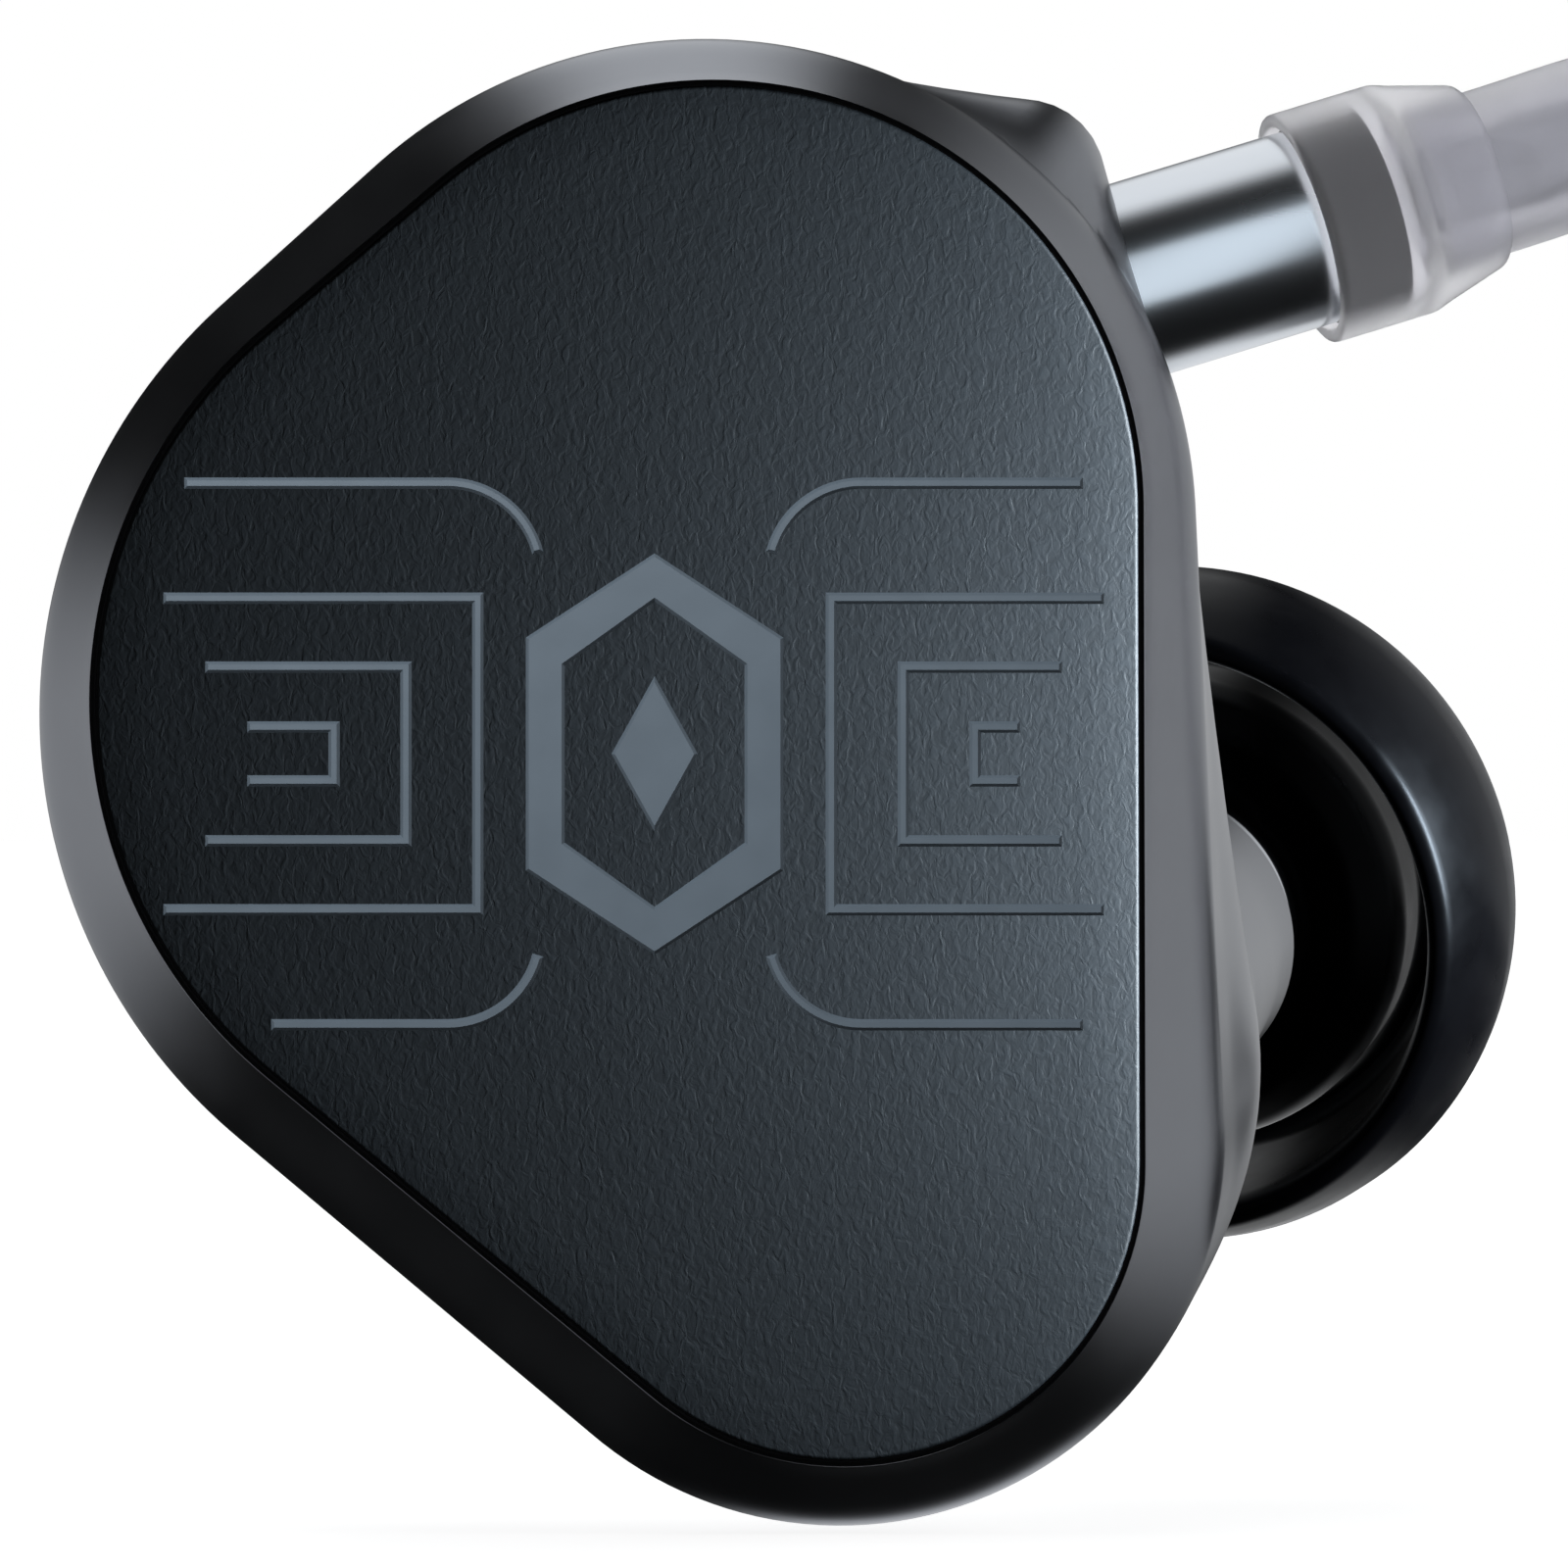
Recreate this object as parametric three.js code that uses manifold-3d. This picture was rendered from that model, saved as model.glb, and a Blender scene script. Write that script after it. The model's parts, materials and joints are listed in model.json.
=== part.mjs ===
// One right-ear in-ear monitor with its detachable lead, in millimetres.
// X runs forward on the ear, Y runs from the faceplate into the head, and Z is up.
import * as THREE from 'three';
import { mergeVertices } from 'three/addons/utils/BufferGeometryUtils.js';
import Module from 'manifold-3d';

const wasm = await Module();
wasm.setup();

// ---------------------------------------------------------------- driving dimensions
// The shell is a stack of outlines. Each outline is a belt drawn tight round four discs, [x, z, radius].
const station = (y, crown, cheek, heel, nose) => ({ y, crown, cheek, heel, nose });
const SHELL = [
  station(0.00, [1.59, 17.08, 7.15], [-0.70, 13.88, 8.11], [3.77, 6.13, 5.00], [4.8, 20.2, 0.8]),
  station(1.05, [1.43, 16.75, 8.25], [-0.49, 13.67, 9.27], [3.65, 6.43, 6.43], [5.5, 21.1, 1.3]),
  station(2.30, [1.46, 16.70, 8.20], [-0.40, 13.65, 9.15], [3.95, 6.75, 6.40], [6.6, 22.45, 1.4]),
  station(4.50, [1.70, 16.20, 7.90], [0.00, 13.40, 8.60], [4.90, 7.60, 5.95], [6.8, 22.60, 1.35]),
  station(6.90, [2.40, 14.90, 6.60], [1.30, 12.80, 7.20], [5.70, 8.30, 4.95], [6.2, 21.3, 1.3]),
  station(8.60, [3.40, 13.60, 4.30], [2.90, 12.30, 4.70], [6.20, 9.00, 3.50], [5.0, 16.5, 1.2]),
  station(9.40, [4.40, 12.30, 1.60], [4.20, 11.90, 1.80], [6.20, 10.0, 1.40], [4.8, 13.0, 0.8]),
];
const BEVEL_STATIONS = 1;              // the flat bevel runs from the first station to the second
const RING_POINTS = 48;
const CAVITY_POINTS = 32;
const PLATE_POINTS = 64;
const WALL = 1.0;
const LEDGE = 0.65;                    // how far the faceplate's seat stands in from the wall
const POCKET_DEPTH = 1.5;

const FACEPLATE = { front: 0.15, back: 1.05, gap: 0.10, relief: 0.11 };
const LINE_WIDTH = 0.19;

const NOZZLE_AT = new THREE.Vector3(9.05, 10.9, 9.88);
const NOZZLE_DIRECTION = new THREE.Vector3(0.275, 0.934, 0.228).normalize();
const NECK_RADIUS = 2.7;
const NOZZLE_RADIUS = 2.15;
const NOZZLE_BORE = 1.45;
const NOZZLE_LENGTH = 4.7;
const EAR_TIP_RADIUS = 5.95;
const EAR_TIP_LENGTH = 6.5;

const PLUG_AT = new THREE.Vector3(8.92, 4.60, 21.12);
const PLUG_DIRECTION = new THREE.Vector3(0.937, 0.191, 0.292).normalize();
const SOCKET_RADIUS = 1.60;
const SOCKET_DEPTH = 3.7;
const SOCKET_FACE = 1.0;                 // how far the barrel's end stands below the shell's surface
const BARREL_RADIUS = 1.69;
const BARREL_LENGTH = 2.95;
const SLEEVE_RADIUS = 2.02;

const DRIVER_AT = new THREE.Vector3(2.4, 3.0, 12.4);
const DRIVER_RADIUS = 5.0;

const CABLE_RADIUS = 0.80;
const GUIDE_RADIUS = 1.43;
const GUIDE_BORE = 1.15;
const CABLE_STEPS = 18;
const GUIDE_STEPS = 11;
const COIL = { x: 34, y: 21.7, inner: 5.2, outer: 14.2, bottom: 0.42, top: 6.82 };
const TIE = { thickness: 0.35, width: 3.2, gap: 0.12 };
const JACK = { x: 27.6, y: 16.2, z: 10.15, grip: 3.2, pin: 1.75 };

// ---------------------------------------------------------------- finishes
const finish = (color, roughness, metalness, opacity = 1) => new THREE.MeshStandardMaterial({
  color, roughness, metalness, opacity, transparent: opacity < 1,
});
const gunmetal = finish(0x4a4c50, 0.38, 1.0);
const steel = finish(0xc4c9cd, 0.16, 1.0);
const gold = finish(0xcaa24a, 0.25, 1.0);
const copper = finish(0xa8693c, 0.35, 1.0);
const darkSteel = finish(0x55585b, 0.35, 1.0);
const texturedBlack = finish(0x1d2529, 0.55, 0.0);
const silicone = finish(0x08080a, 0.45, 0.0);
const clear = finish(0xdfe3e8, 0.35, 0.0, 0.45);
const clearCable = finish(0xb9bcc2, 0.35, 0.0);
const blackPlastic = finish(0x101113, 0.45, 0.0);
const whitePlastic = finish(0xd8d4c8, 0.5, 0.0);
const markerGrey = finish(0x1c1d20, 0.3, 0.2);
const boardGreen = finish(0x1f4a35, 0.5, 0.0);
const film = finish(0xb9b2a4, 0.35, 0.1);
const foam = finish(0x2b2b2d, 0.95, 0.0);

// ---------------------------------------------------------------- solids
const UP = new THREE.Vector3(0, 1, 0);

function bare(geometry) {
  const plain = geometry.clone();
  plain.deleteAttribute('normal');
  plain.deleteAttribute('uv');
  return mergeVertices(plain, 1e-4);
}

// Turns a closed surface so that its faces point out, whichever way its outline was drawn.
function facedOut(geometry) {
  const closed = bare(geometry);
  const position = closed.attributes.position;
  const index = closed.index.array;
  const [a, b, c] = [new THREE.Vector3(), new THREE.Vector3(), new THREE.Vector3()];
  const kept = [];
  let volume = 0;
  for (let i = 0; i < index.length; i += 3) {
    const [p, q, r] = [index[i], index[i + 1], index[i + 2]];
    if (p === q || q === r || r === p) continue;
    a.fromBufferAttribute(position, p);
    b.fromBufferAttribute(position, q);
    c.fromBufferAttribute(position, r);
    volume += a.dot(b.cross(c));
    kept.push([p, q, r]);
  }
  const order = volume < 0 ? kept.map(([p, q, r]) => [p, r, q]) : kept;
  closed.setIndex(order.flat());
  return closed;
}

function solidOf(geometry) {
  const closed = facedOut(geometry);
  const mesh = new wasm.Mesh({
    numProp: 3,
    vertProperties: new Float32Array(closed.attributes.position.array),
    triVerts: new Uint32Array(closed.index.array),
  });
  return new wasm.Manifold(mesh);
}

function geometryOf(solid) {
  const mesh = solid.getMesh();
  const geometry = new THREE.BufferGeometry();
  geometry.setAttribute('position', new THREE.BufferAttribute(new Float32Array(mesh.vertProperties), 3));
  geometry.setIndex(Array.from(mesh.triVerts));
  return geometry;
}

const joined = (...shapes) => geometryOf(shapes.map(solidOf).reduce((all, next) => all.add(next)));
const cut = (shape, ...tools) => geometryOf(
  tools.map(solidOf).reduce((rest, tool) => rest.subtract(tool), solidOf(shape)));

// A solid of revolution about Y from a closed outline of [radius, height] corners.
function turned(outline, segments = 32) {
  const corners = [...outline, outline[0]].map(([radius, height]) => new THREE.Vector2(radius, height));
  return facedOut(new THREE.LatheGeometry(corners, segments));
}

const rod = (radius, from, to, segments = 32) => turned(
  [[0, from], [radius, from], [radius, to], [0, to]], segments);
const pipe = (inner, outer, from, to, segments = 32) => turned(
  [[inner, from], [outer, from], [outer, to], [inner, to]], segments);

function block(width, depth, height, x, y, z) {
  return new THREE.BoxGeometry(width, depth, height).translate(x, y, z);
}

// The quarter round from one [radius, height] point to another, bulging outward.
function rounded(from, to, count) {
  const points = [];
  for (let i = 0; i <= count; i += 1) {
    const angle = (i / count) * Math.PI / 2;
    points.push([
      from[0] + (to[0] - from[0]) * (1 - Math.cos(angle)),
      from[1] + (to[1] - from[1]) * Math.sin(angle),
    ]);
  }
  return points;
}

// A tube along a curve, with an optional bore.
function tube(curve, radius, steps, sides = 8, bore = 0) {
  const ring = (size) => Array.from({ length: sides }, (_, i) => new THREE.Vector2(
    size * Math.cos((i / sides) * 2 * Math.PI), size * Math.sin((i / sides) * 2 * Math.PI)));
  const section = new THREE.Shape(ring(radius));
  if (bore > 0) section.holes.push(new THREE.Path(ring(bore)));
  const extrusion = { steps, extrudePath: curve, bevelEnabled: false };
  return facedOut(new THREE.ExtrudeGeometry(section, extrusion));
}

const curveThrough = (points) => new THREE.CatmullRomCurve3(
  points.map(([x, y, z]) => new THREE.Vector3(x, y, z)), false, 'centripetal');

// A slab whose outline lies in the faceplate's plane, from y = front to y = back.
function slab(shape, front, back, curveSegments = 12) {
  const extrusion = { depth: back - front, bevelEnabled: false, curveSegments };
  const geometry = new THREE.ExtrudeGeometry(shape, extrusion);
  geometry.rotateX(Math.PI / 2);
  geometry.translate(0, back, 0);
  return facedOut(geometry);
}

// ---------------------------------------------------------------- belt outlines
const discNames = ['crown', 'cheek', 'heel', 'nose'];

// How far a ray from the middle runs before it meets the belt: the nearest of all the belt's tangent lines.
function reach(discs, middle, angle) {
  const tangents = 240;
  const spread = 0.9 * Math.PI;
  let nearest = Infinity;
  for (let i = 0; i <= tangents; i += 1) {
    const facing = (i / tangents - 0.5) * spread;
    const [nx, nz] = [Math.cos(angle + facing), Math.sin(angle + facing)];
    const support = Math.max(...discs.map(([x, z, r]) => (x - middle[0]) * nx + (z - middle[1]) * nz + r));
    nearest = Math.min(nearest, support / Math.cos(facing));
  }
  return nearest;
}

function beltRing(discs, count) {
  const middle = [
    (discs[0][0] + discs[1][0] + discs[2][0]) / 3,
    (discs[0][1] + discs[1][1] + discs[2][1]) / 3,
  ];
  return Array.from({ length: count }, (_, i) => {
    const angle = (i / count) * 2 * Math.PI;
    const distance = reach(discs, middle, angle);
    return [middle[0] + distance * Math.cos(angle), middle[1] + distance * Math.sin(angle)];
  });
}

const discsOf = (discs, inset = 0) => discNames.map((name) => {
  const [x, z, r] = discs[name];
  return [x, z, r - inset];
});

// The shell's discs at any place along the stack, smooth from the rim to the back.
function stationAt(place) {
  if (place <= BEVEL_STATIONS) {
    const mix = (a, b) => a + (b - a) * place;
    const blended = { y: mix(SHELL[0].y, SHELL[1].y) };
    for (const name of discNames) {
      blended[name] = SHELL[0][name].map((value, i) => mix(value, SHELL[1][name][i]));
    }
    return blended;
  }
  const from = Math.min(Math.floor(place), SHELL.length - 2);
  const t = place - from;
  const pick = (i) => SHELL[Math.min(Math.max(i, BEVEL_STATIONS), SHELL.length - 1)];
  const four = [pick(from - 1), pick(from), pick(from + 1), pick(from + 2)];
  const spline = ([a, b, c, d]) => 0.5 * (2 * b + (c - a) * t + (2 * a - 5 * b + 4 * c - d) * t * t
    + (3 * b - 3 * c + d - a) * t * t * t);
  const smooth = { y: spline(four.map((station) => station.y)) };
  for (const name of discNames) {
    smooth[name] = [0, 1, 2].map((i) => spline(four.map((station) => station[name][i])));
  }
  return smooth;
}

// A closed body through a stack of rings, [[x, z], ...] each at its own y.
function loft(rings, heights) {
  const count = rings[0].length;
  const positions = [];
  rings.forEach((ring, row) => ring.forEach(([x, z]) => positions.push(x, heights[row], z)));
  const middleOf = (ring) => [0, 1].map((axis) => ring.reduce((sum, point) => sum + point[axis], 0) / count);
  const [firstX, firstZ] = middleOf(rings[0]);
  const [lastX, lastZ] = middleOf(rings[rings.length - 1]);
  positions.push(firstX, heights[0], firstZ, lastX, heights[heights.length - 1], lastZ);
  const first = rings.length * count;
  const index = [];
  for (let i = 0; i < count; i += 1) {
    const next = (i + 1) % count;
    for (let row = 0; row + 1 < rings.length; row += 1) {
      const [a, b] = [row * count + i, row * count + next];
      index.push(a, b, b + count, a, b + count, a + count);
    }
    const top = (rings.length - 1) * count;
    index.push(first, next, i, first + 1, top + i, top + next);
  }
  const geometry = new THREE.BufferGeometry();
  geometry.setAttribute('position', new THREE.Float32BufferAttribute(positions, 3));
  geometry.setIndex(index);
  return facedOut(geometry);
}

function beltShape(inset) {
  const ring = beltRing(discsOf(SHELL[0], inset), PLATE_POINTS);
  return new THREE.Shape(ring.map(([x, z]) => new THREE.Vector2(x, z)));
}

// ---------------------------------------------------------------- frames that parts are turned in
function frameAlong(at, direction) {
  const frame = new THREE.Group();
  frame.position.copy(at);
  frame.quaternion.setFromUnitVectors(UP, direction);
  frame.updateMatrix();
  return frame;
}

const monitor = new THREE.Group();
const nozzleFrame = frameAlong(NOZZLE_AT, NOZZLE_DIRECTION);
const plugFrame = frameAlong(PLUG_AT, PLUG_DIRECTION);
const driverFrame = frameAlong(DRIVER_AT, UP);
const jackFrame = frameAlong(new THREE.Vector3(JACK.x, JACK.y, JACK.z), new THREE.Vector3(1, 0, 0));
monitor.add(nozzleFrame, plugFrame, driverFrame, jackFrame);

const inFrame = (geometry, frame) => geometry.clone().applyMatrix4(frame.matrix);

function add(name, geometry, material, parent = monitor) {
  const mesh = new THREE.Mesh(facedOut(geometry), material);
  mesh.name = name;
  parent.add(mesh);
}

// ---------------------------------------------------------------- shell and faceplate
function shellBody() {
  const places = [0, 1, 1.5, 2, 2.5, 3, 3.5, 4, 4.4, 4.8, 5.2, 5.6, 6];
  const stations = places.map(stationAt);
  return loft(stations.map((station) => beltRing(discsOf(station), RING_POINTS)), stations.map((s) => s.y));
}

function cavity() {
  const places = [1.25, 2, 3, 3.7, 4.4, 5.1];
  const stations = places.map(stationAt);
  const rings = stations.map((station, row) => {
    const inset = WALL + (row === 0 ? LEDGE : 0);
    return beltRing(discsOf({ ...station, nose: station.crown }, inset), CAVITY_POINTS);
  });
  return loft(rings, stations.map((station) => station.y - (station.y > 8 ? WALL * 0.6 : 0)));
}

const VENT_AT = new THREE.Vector3(-2.2, 5.2, 15.6);
const VENT_DIRECTION = new THREE.Vector3(-0.45, 0.85, 0.28).normalize();
const ventFrame = frameAlong(VENT_AT, VENT_DIRECTION);
monitor.add(ventFrame);

function mainShell() {
  const neck = turned([
    [0, -7.0], [3.0, -7.0], [3.1, -5.0], [3.0, -4.0], [2.9, -3.0], [2.8, -2.0], [NECK_RADIUS, -1.0],
    [NECK_RADIUS, -0.12], [NECK_RADIUS - 0.12, 0], [0, 0],
  ], 32);
  const body = joined(shellBody(), inFrame(neck, nozzleFrame));
  const pocket = slab(beltShape(-0.02), -0.5, POCKET_DEPTH);
  const socketBore = joined(rod(SOCKET_RADIUS + 0.15, -SOCKET_DEPTH - 1.6, 0.5, 28),
    rod(SOCKET_RADIUS + 0.8, -SOCKET_DEPTH - 1.6, -SOCKET_DEPTH + 0.6, 28));
  const spotFace = rod(BARREL_RADIUS + 0.22, -SOCKET_FACE - 0.1, 3, 28);
  const nozzleBore = rod(NOZZLE_RADIUS - 0.2, -7.6, 1, 28);
  const ventHole = joined(rod(0.45, -2.5, 3, 16), rod(0.85, 1.15, 4, 20));
  return cut(body, pocket, cavity(), inFrame(socketBore, plugFrame), inFrame(spotFace, plugFrame),
    inFrame(nozzleBore, nozzleFrame), inFrame(ventHole, ventFrame));
}

// A thin raised line through [x, z] points, mitred at its corners.
function stroke(points, width = LINE_WIDTH) {
  const at = points.map(([x, z]) => new THREE.Vector2(x, z));
  const offset = at.map((point, i) => {
    const before = point.clone().sub(at[Math.max(i - 1, 0)]).normalize();
    const after = at[Math.min(i + 1, at.length - 1)].clone().sub(point).normalize();
    if (i === 0) before.copy(after);
    if (i === at.length - 1) after.copy(before);
    const normal = new THREE.Vector2(-before.y - after.y, before.x + after.x).normalize();
    const mitre = 1 / Math.max(normal.dot(new THREE.Vector2(-before.y, before.x)), 0.5);
    return normal.multiplyScalar(mitre * width / 2);
  });
  const left = at.map((point, i) => point.clone().add(offset[i]));
  const right = at.map((point, i) => point.clone().sub(offset[i])).reverse();
  return new THREE.Shape([...left, ...right]);
}

const MOTIF = { x: 0.6, z: 13.0 };

// One side's nested brackets and its two outer lines, with side = 1 to the right and -1 to the left.
// They run out to far, and the lower line only to low, where the plate is narrower.
function sideLines(side, far, low) {
  const at = (x, z) => [MOTIF.x + side * x, MOTIF.z + z];
  const bracket = (near, outer, half) => stroke(
    [at(outer, half), at(near, half), at(near, -half), at(outer, -half)]);
  const sweep = (up, start) => {
    const radius = 1.55;
    const turn = Array.from({ length: 9 }, (_, i) => {
      const angle = (i / 8) * Math.PI * 0.42;
      return at(1.9 + radius - radius * Math.sin(angle), up * (4.52 - radius + radius * Math.cos(angle)));
    });
    return stroke([at(start, up * 4.52), ...turn]);
  };
  return [bracket(2.95, far, 2.6), bracket(4.15, far - 0.7, 1.45), bracket(5.35, far - 1.4, 0.45),
    sweep(1, far - 0.35), sweep(-1, low)];
}

function emblem() {
  const hexagon = (halfWidth, halfHeight) => {
    const shoulder = halfHeight * 0.58;
    return [[halfWidth, shoulder], [0, halfHeight], [-halfWidth, shoulder],
      [-halfWidth, -shoulder], [0, -halfHeight], [halfWidth, -shoulder]]
      .map(([x, z]) => new THREE.Vector2(MOTIF.x + x, MOTIF.z + z));
  };
  const frame = new THREE.Shape(hexagon(2.15, 3.35));
  frame.holes.push(new THREE.Path(hexagon(1.5, 2.55)));
  const lozenge = new THREE.Shape([[0.72, 0], [0, 1.3], [-0.72, 0], [0, -1.3]]
    .map(([x, z]) => new THREE.Vector2(MOTIF.x + x, MOTIF.z + z)));
  return [frame, lozenge];
}

function faceplate() {
  const plate = slab(beltShape(FACEPLATE.gap), FACEPLATE.front, FACEPLATE.back);
  const raised = [...sideLines(-1, 8.2, 6.4), ...sideLines(1, 7.5, 7.15), ...emblem()]
    .map((shape) => slab(shape, FACEPLATE.front - FACEPLATE.relief, FACEPLATE.front + 0.1));
  return joined(plate, ...raised);
}

function faceplateSeal() {
  const ring = beltShape(0.2);
  ring.holes.push(new THREE.Path(beltShape(0.75).getPoints()));
  return slab(ring, FACEPLATE.back + 0.05, POCKET_DEPTH - 0.05);
}

add('main_shell', mainShell(), gunmetal);
add('faceplate', faceplate(), texturedBlack);
add('faceplate_seal', faceplateSeal(), foam);
add('vent_screen', rod(0.75, 1.2, 1.4, 20), darkSteel, ventFrame);

// ---------------------------------------------------------------- nozzle and ear tip
function nozzle() {
  const stub = NOZZLE_RADIUS - 0.32;
  return turned([
    [NOZZLE_BORE, -3.2], [stub, -3.2], [stub, 0.12], [NECK_RADIUS - 0.3, 0.12], [NECK_RADIUS - 0.3, 0.42],
    [NOZZLE_RADIUS - 0.12, 0.42], [NOZZLE_RADIUS - 0.12, NOZZLE_LENGTH - 0.95],
    [NOZZLE_RADIUS + 0.1, NOZZLE_LENGTH - 0.8], [NOZZLE_RADIUS + 0.1, NOZZLE_LENGTH - 0.2],
    [NOZZLE_RADIUS - 0.1, NOZZLE_LENGTH], [NOZZLE_BORE + 0.3, NOZZLE_LENGTH],
    [NOZZLE_BORE + 0.3, NOZZLE_LENGTH - 0.4], [NOZZLE_BORE, NOZZLE_LENGTH - 0.4],
  ], 28);
}

// The tip is a mushroom: a skirt and dome outside, and a flared core that grips the nozzle inside.
function earTip() {
  const bore = NOZZLE_RADIUS + 0.28;
  const dome = rounded([EAR_TIP_RADIUS, 2.3], [2.2, EAR_TIP_LENGTH], 8);
  return turned([
    [bore, 0.62], [2.9, 0.62], [3.5, 0.95], [4.05, 1.5], [4.2, 1.9], [4.15, 3.1], [4.4, 3.4], [4.65, 3.1],
    [4.85, 1.8], [4.95, 0.4], [5.05, 0.05], [5.2, 0.0], [5.42, 0.12], [5.7, 0.8], [5.88, 1.5], ...dome,
    [1.85, EAR_TIP_LENGTH - 0.1], [1.75, EAR_TIP_LENGTH - 0.4], [1.75, NOZZLE_LENGTH + 0.35],
    [bore, NOZZLE_LENGTH + 0.35],
  ], 32);
}

add('nozzle', nozzle(), steel, nozzleFrame);
add('nozzle_screen', rod(NOZZLE_BORE + 0.2, NOZZLE_LENGTH - 0.32, NOZZLE_LENGTH - 0.12, 24), darkSteel,
  nozzleFrame);
add('nozzle_damper', rod(NOZZLE_BORE - 0.15, 0.8, 1.6, 20), foam, nozzleFrame);
add('ear_tip', earTip(), silicone, nozzleFrame);

// ---------------------------------------------------------------- socket in the shell's nose
add('socket_body', pipe(1.25, SOCKET_RADIUS, -SOCKET_DEPTH, -SOCKET_FACE - 0.2, 24), gold, plugFrame);
add('socket_insulator', turned([
  [0.36, -SOCKET_DEPTH + 0.1], [1.15, -SOCKET_DEPTH + 0.1], [1.15, -2.75], [0.36, -2.75],
], 20), whitePlastic, plugFrame);
add('socket_contact', turned([
  [0, -SOCKET_DEPTH - 0.6], [0.28, -SOCKET_DEPTH - 0.6], [0.28, -1.5], [0.19, -1.5], [0.19, -2.9], [0, -2.9],
], 16), gold, plugFrame);
add('socket_nut', cut(rod(SOCKET_RADIUS + 0.6, -SOCKET_DEPTH + 0.05, -SOCKET_DEPTH + 0.5, 6),
  rod(SOCKET_RADIUS + 0.06, -SOCKET_DEPTH - 1, -SOCKET_DEPTH + 1, 24)), steel, plugFrame);

// ---------------------------------------------------------------- plug at the near end of the lead
add('plug_barrel', turned([
  [1.2, -SOCKET_FACE], [BARREL_RADIUS - 0.1, -SOCKET_FACE], [BARREL_RADIUS, -SOCKET_FACE + 0.1],
  [BARREL_RADIUS, BARREL_LENGTH], [1.2, BARREL_LENGTH],
], 32), steel, plugFrame);
add('side_marker_ring', pipe(1.2, BARREL_RADIUS - 0.06, BARREL_LENGTH + 0.06, BARREL_LENGTH + 1.25, 28),
  markerGrey, plugFrame);
add('strain_relief_sleeve', turned([
  [BARREL_RADIUS + 0.1, BARREL_LENGTH - 0.15], [SLEEVE_RADIUS, BARREL_LENGTH - 0.15],
  [SLEEVE_RADIUS, BARREL_LENGTH + 1.70], [SLEEVE_RADIUS - 0.1, BARREL_LENGTH + 2.0],
  [1.62, BARREL_LENGTH + 3.05], [1.5, BARREL_LENGTH + 3.15], [GUIDE_RADIUS + 0.02, BARREL_LENGTH + 3.15],
  [GUIDE_RADIUS + 0.02, BARREL_LENGTH + 1.85], [BARREL_RADIUS + 0.1, BARREL_LENGTH + 1.45],
], 32), clear, plugFrame);
add('plug_snap_contact', turned([
  [0.78, -2.3], [1.08, -2.3], [1.14, -2.0], [1.05, -1.7], [1.05, BARREL_LENGTH + 0.6],
  [0.78, BARREL_LENGTH + 0.6],
], 20), gold, plugFrame);
add('plug_insulator', pipe(0.36, 0.68, 0.3, BARREL_LENGTH + 0.5, 16), whitePlastic, plugFrame);
add('plug_center_pin', turned([
  [0.0, -1.35], [0.2, -1.35], [0.28, -1.1], [0.28, BARREL_LENGTH + 0.9], [0, BARREL_LENGTH + 0.9],
], 14), gold, plugFrame);

// ---------------------------------------------------------------- lead
const plugPoint = (distance) => PLUG_AT.clone().addScaledVector(PLUG_DIRECTION, distance).toArray();
const LEAD_START = BARREL_LENGTH + 2.0;
const lead = curveThrough([
  plugPoint(LEAD_START), plugPoint(LEAD_START + 1.6), plugPoint(LEAD_START + 4.0),
  [21.2, 6.9, 24.2], [24.9, 6.9, 23.2], [28.0, 6.6, 20.7], [30.2, 6.2, 17.2], [31.6, 5.9, 13.2],
  [32.8, 5.8, 9.2], [34.6, 6.0, 5.4], [37.2, 6.5, 2.5], [40.4, 7.7, 1.05], [43.8, 9.7, 0.85],
  [46.6, 12.6, 0.85],
]);

// The first part of a curve, so that a short tube and a long one share their steps.
class FirstPart extends THREE.Curve {
  constructor(whole, share) {
    super();
    this.whole = whole;
    this.share = share;
  }

  getPoint(t, target = new THREE.Vector3()) {
    return this.whole.getPointAt(t * this.share, target);
  }
}

const tail = curveThrough([
  [20.8, 21.6, 7.95], [21.6, 19.0, 8.7], [23.5, 17.1, 9.6], [26.0, 16.25, 10.1],
  [JACK.x - 0.3, JACK.y, JACK.z],
]);

add('cable', tube(new FirstPart(lead, 1), CABLE_RADIUS, CABLE_STEPS), clearCable);
const guideRoute = new FirstPart(lead, GUIDE_STEPS / CABLE_STEPS);
add('ear_guide', tube(guideRoute, GUIDE_RADIUS, GUIDE_STEPS, 8, GUIDE_BORE), clear);
add('cable_coil', turned([
  [COIL.inner, COIL.bottom], [COIL.outer, COIL.bottom], [COIL.outer, COIL.top], [COIL.inner, COIL.top],
], 36).rotateX(Math.PI / 2).translate(COIL.x, COIL.y, 0), clearCable);
add('cable_tail', tube(tail, CABLE_RADIUS, 4), clearCable);

function cableTie() {
  const [near, far] = [COIL.inner - TIE.gap - 0.3, COIL.outer + TIE.gap];
  const [low, high] = [COIL.bottom - 0.05, COIL.top + TIE.gap];
  const band = block(TIE.width, far - near + 2 * TIE.thickness, high - low + 2 * TIE.thickness - 0.05,
    0, (near + far) / 2, (low + high) / 2 + 0.025);
  const hole = block(TIE.width + 2, far - near, high - low, 0, (near + far) / 2, (low + high) / 2);
  return cut(band, hole).translate(COIL.x, COIL.y, 0);
}
add('cable_tie', cableTie(), blackPlastic);

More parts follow.
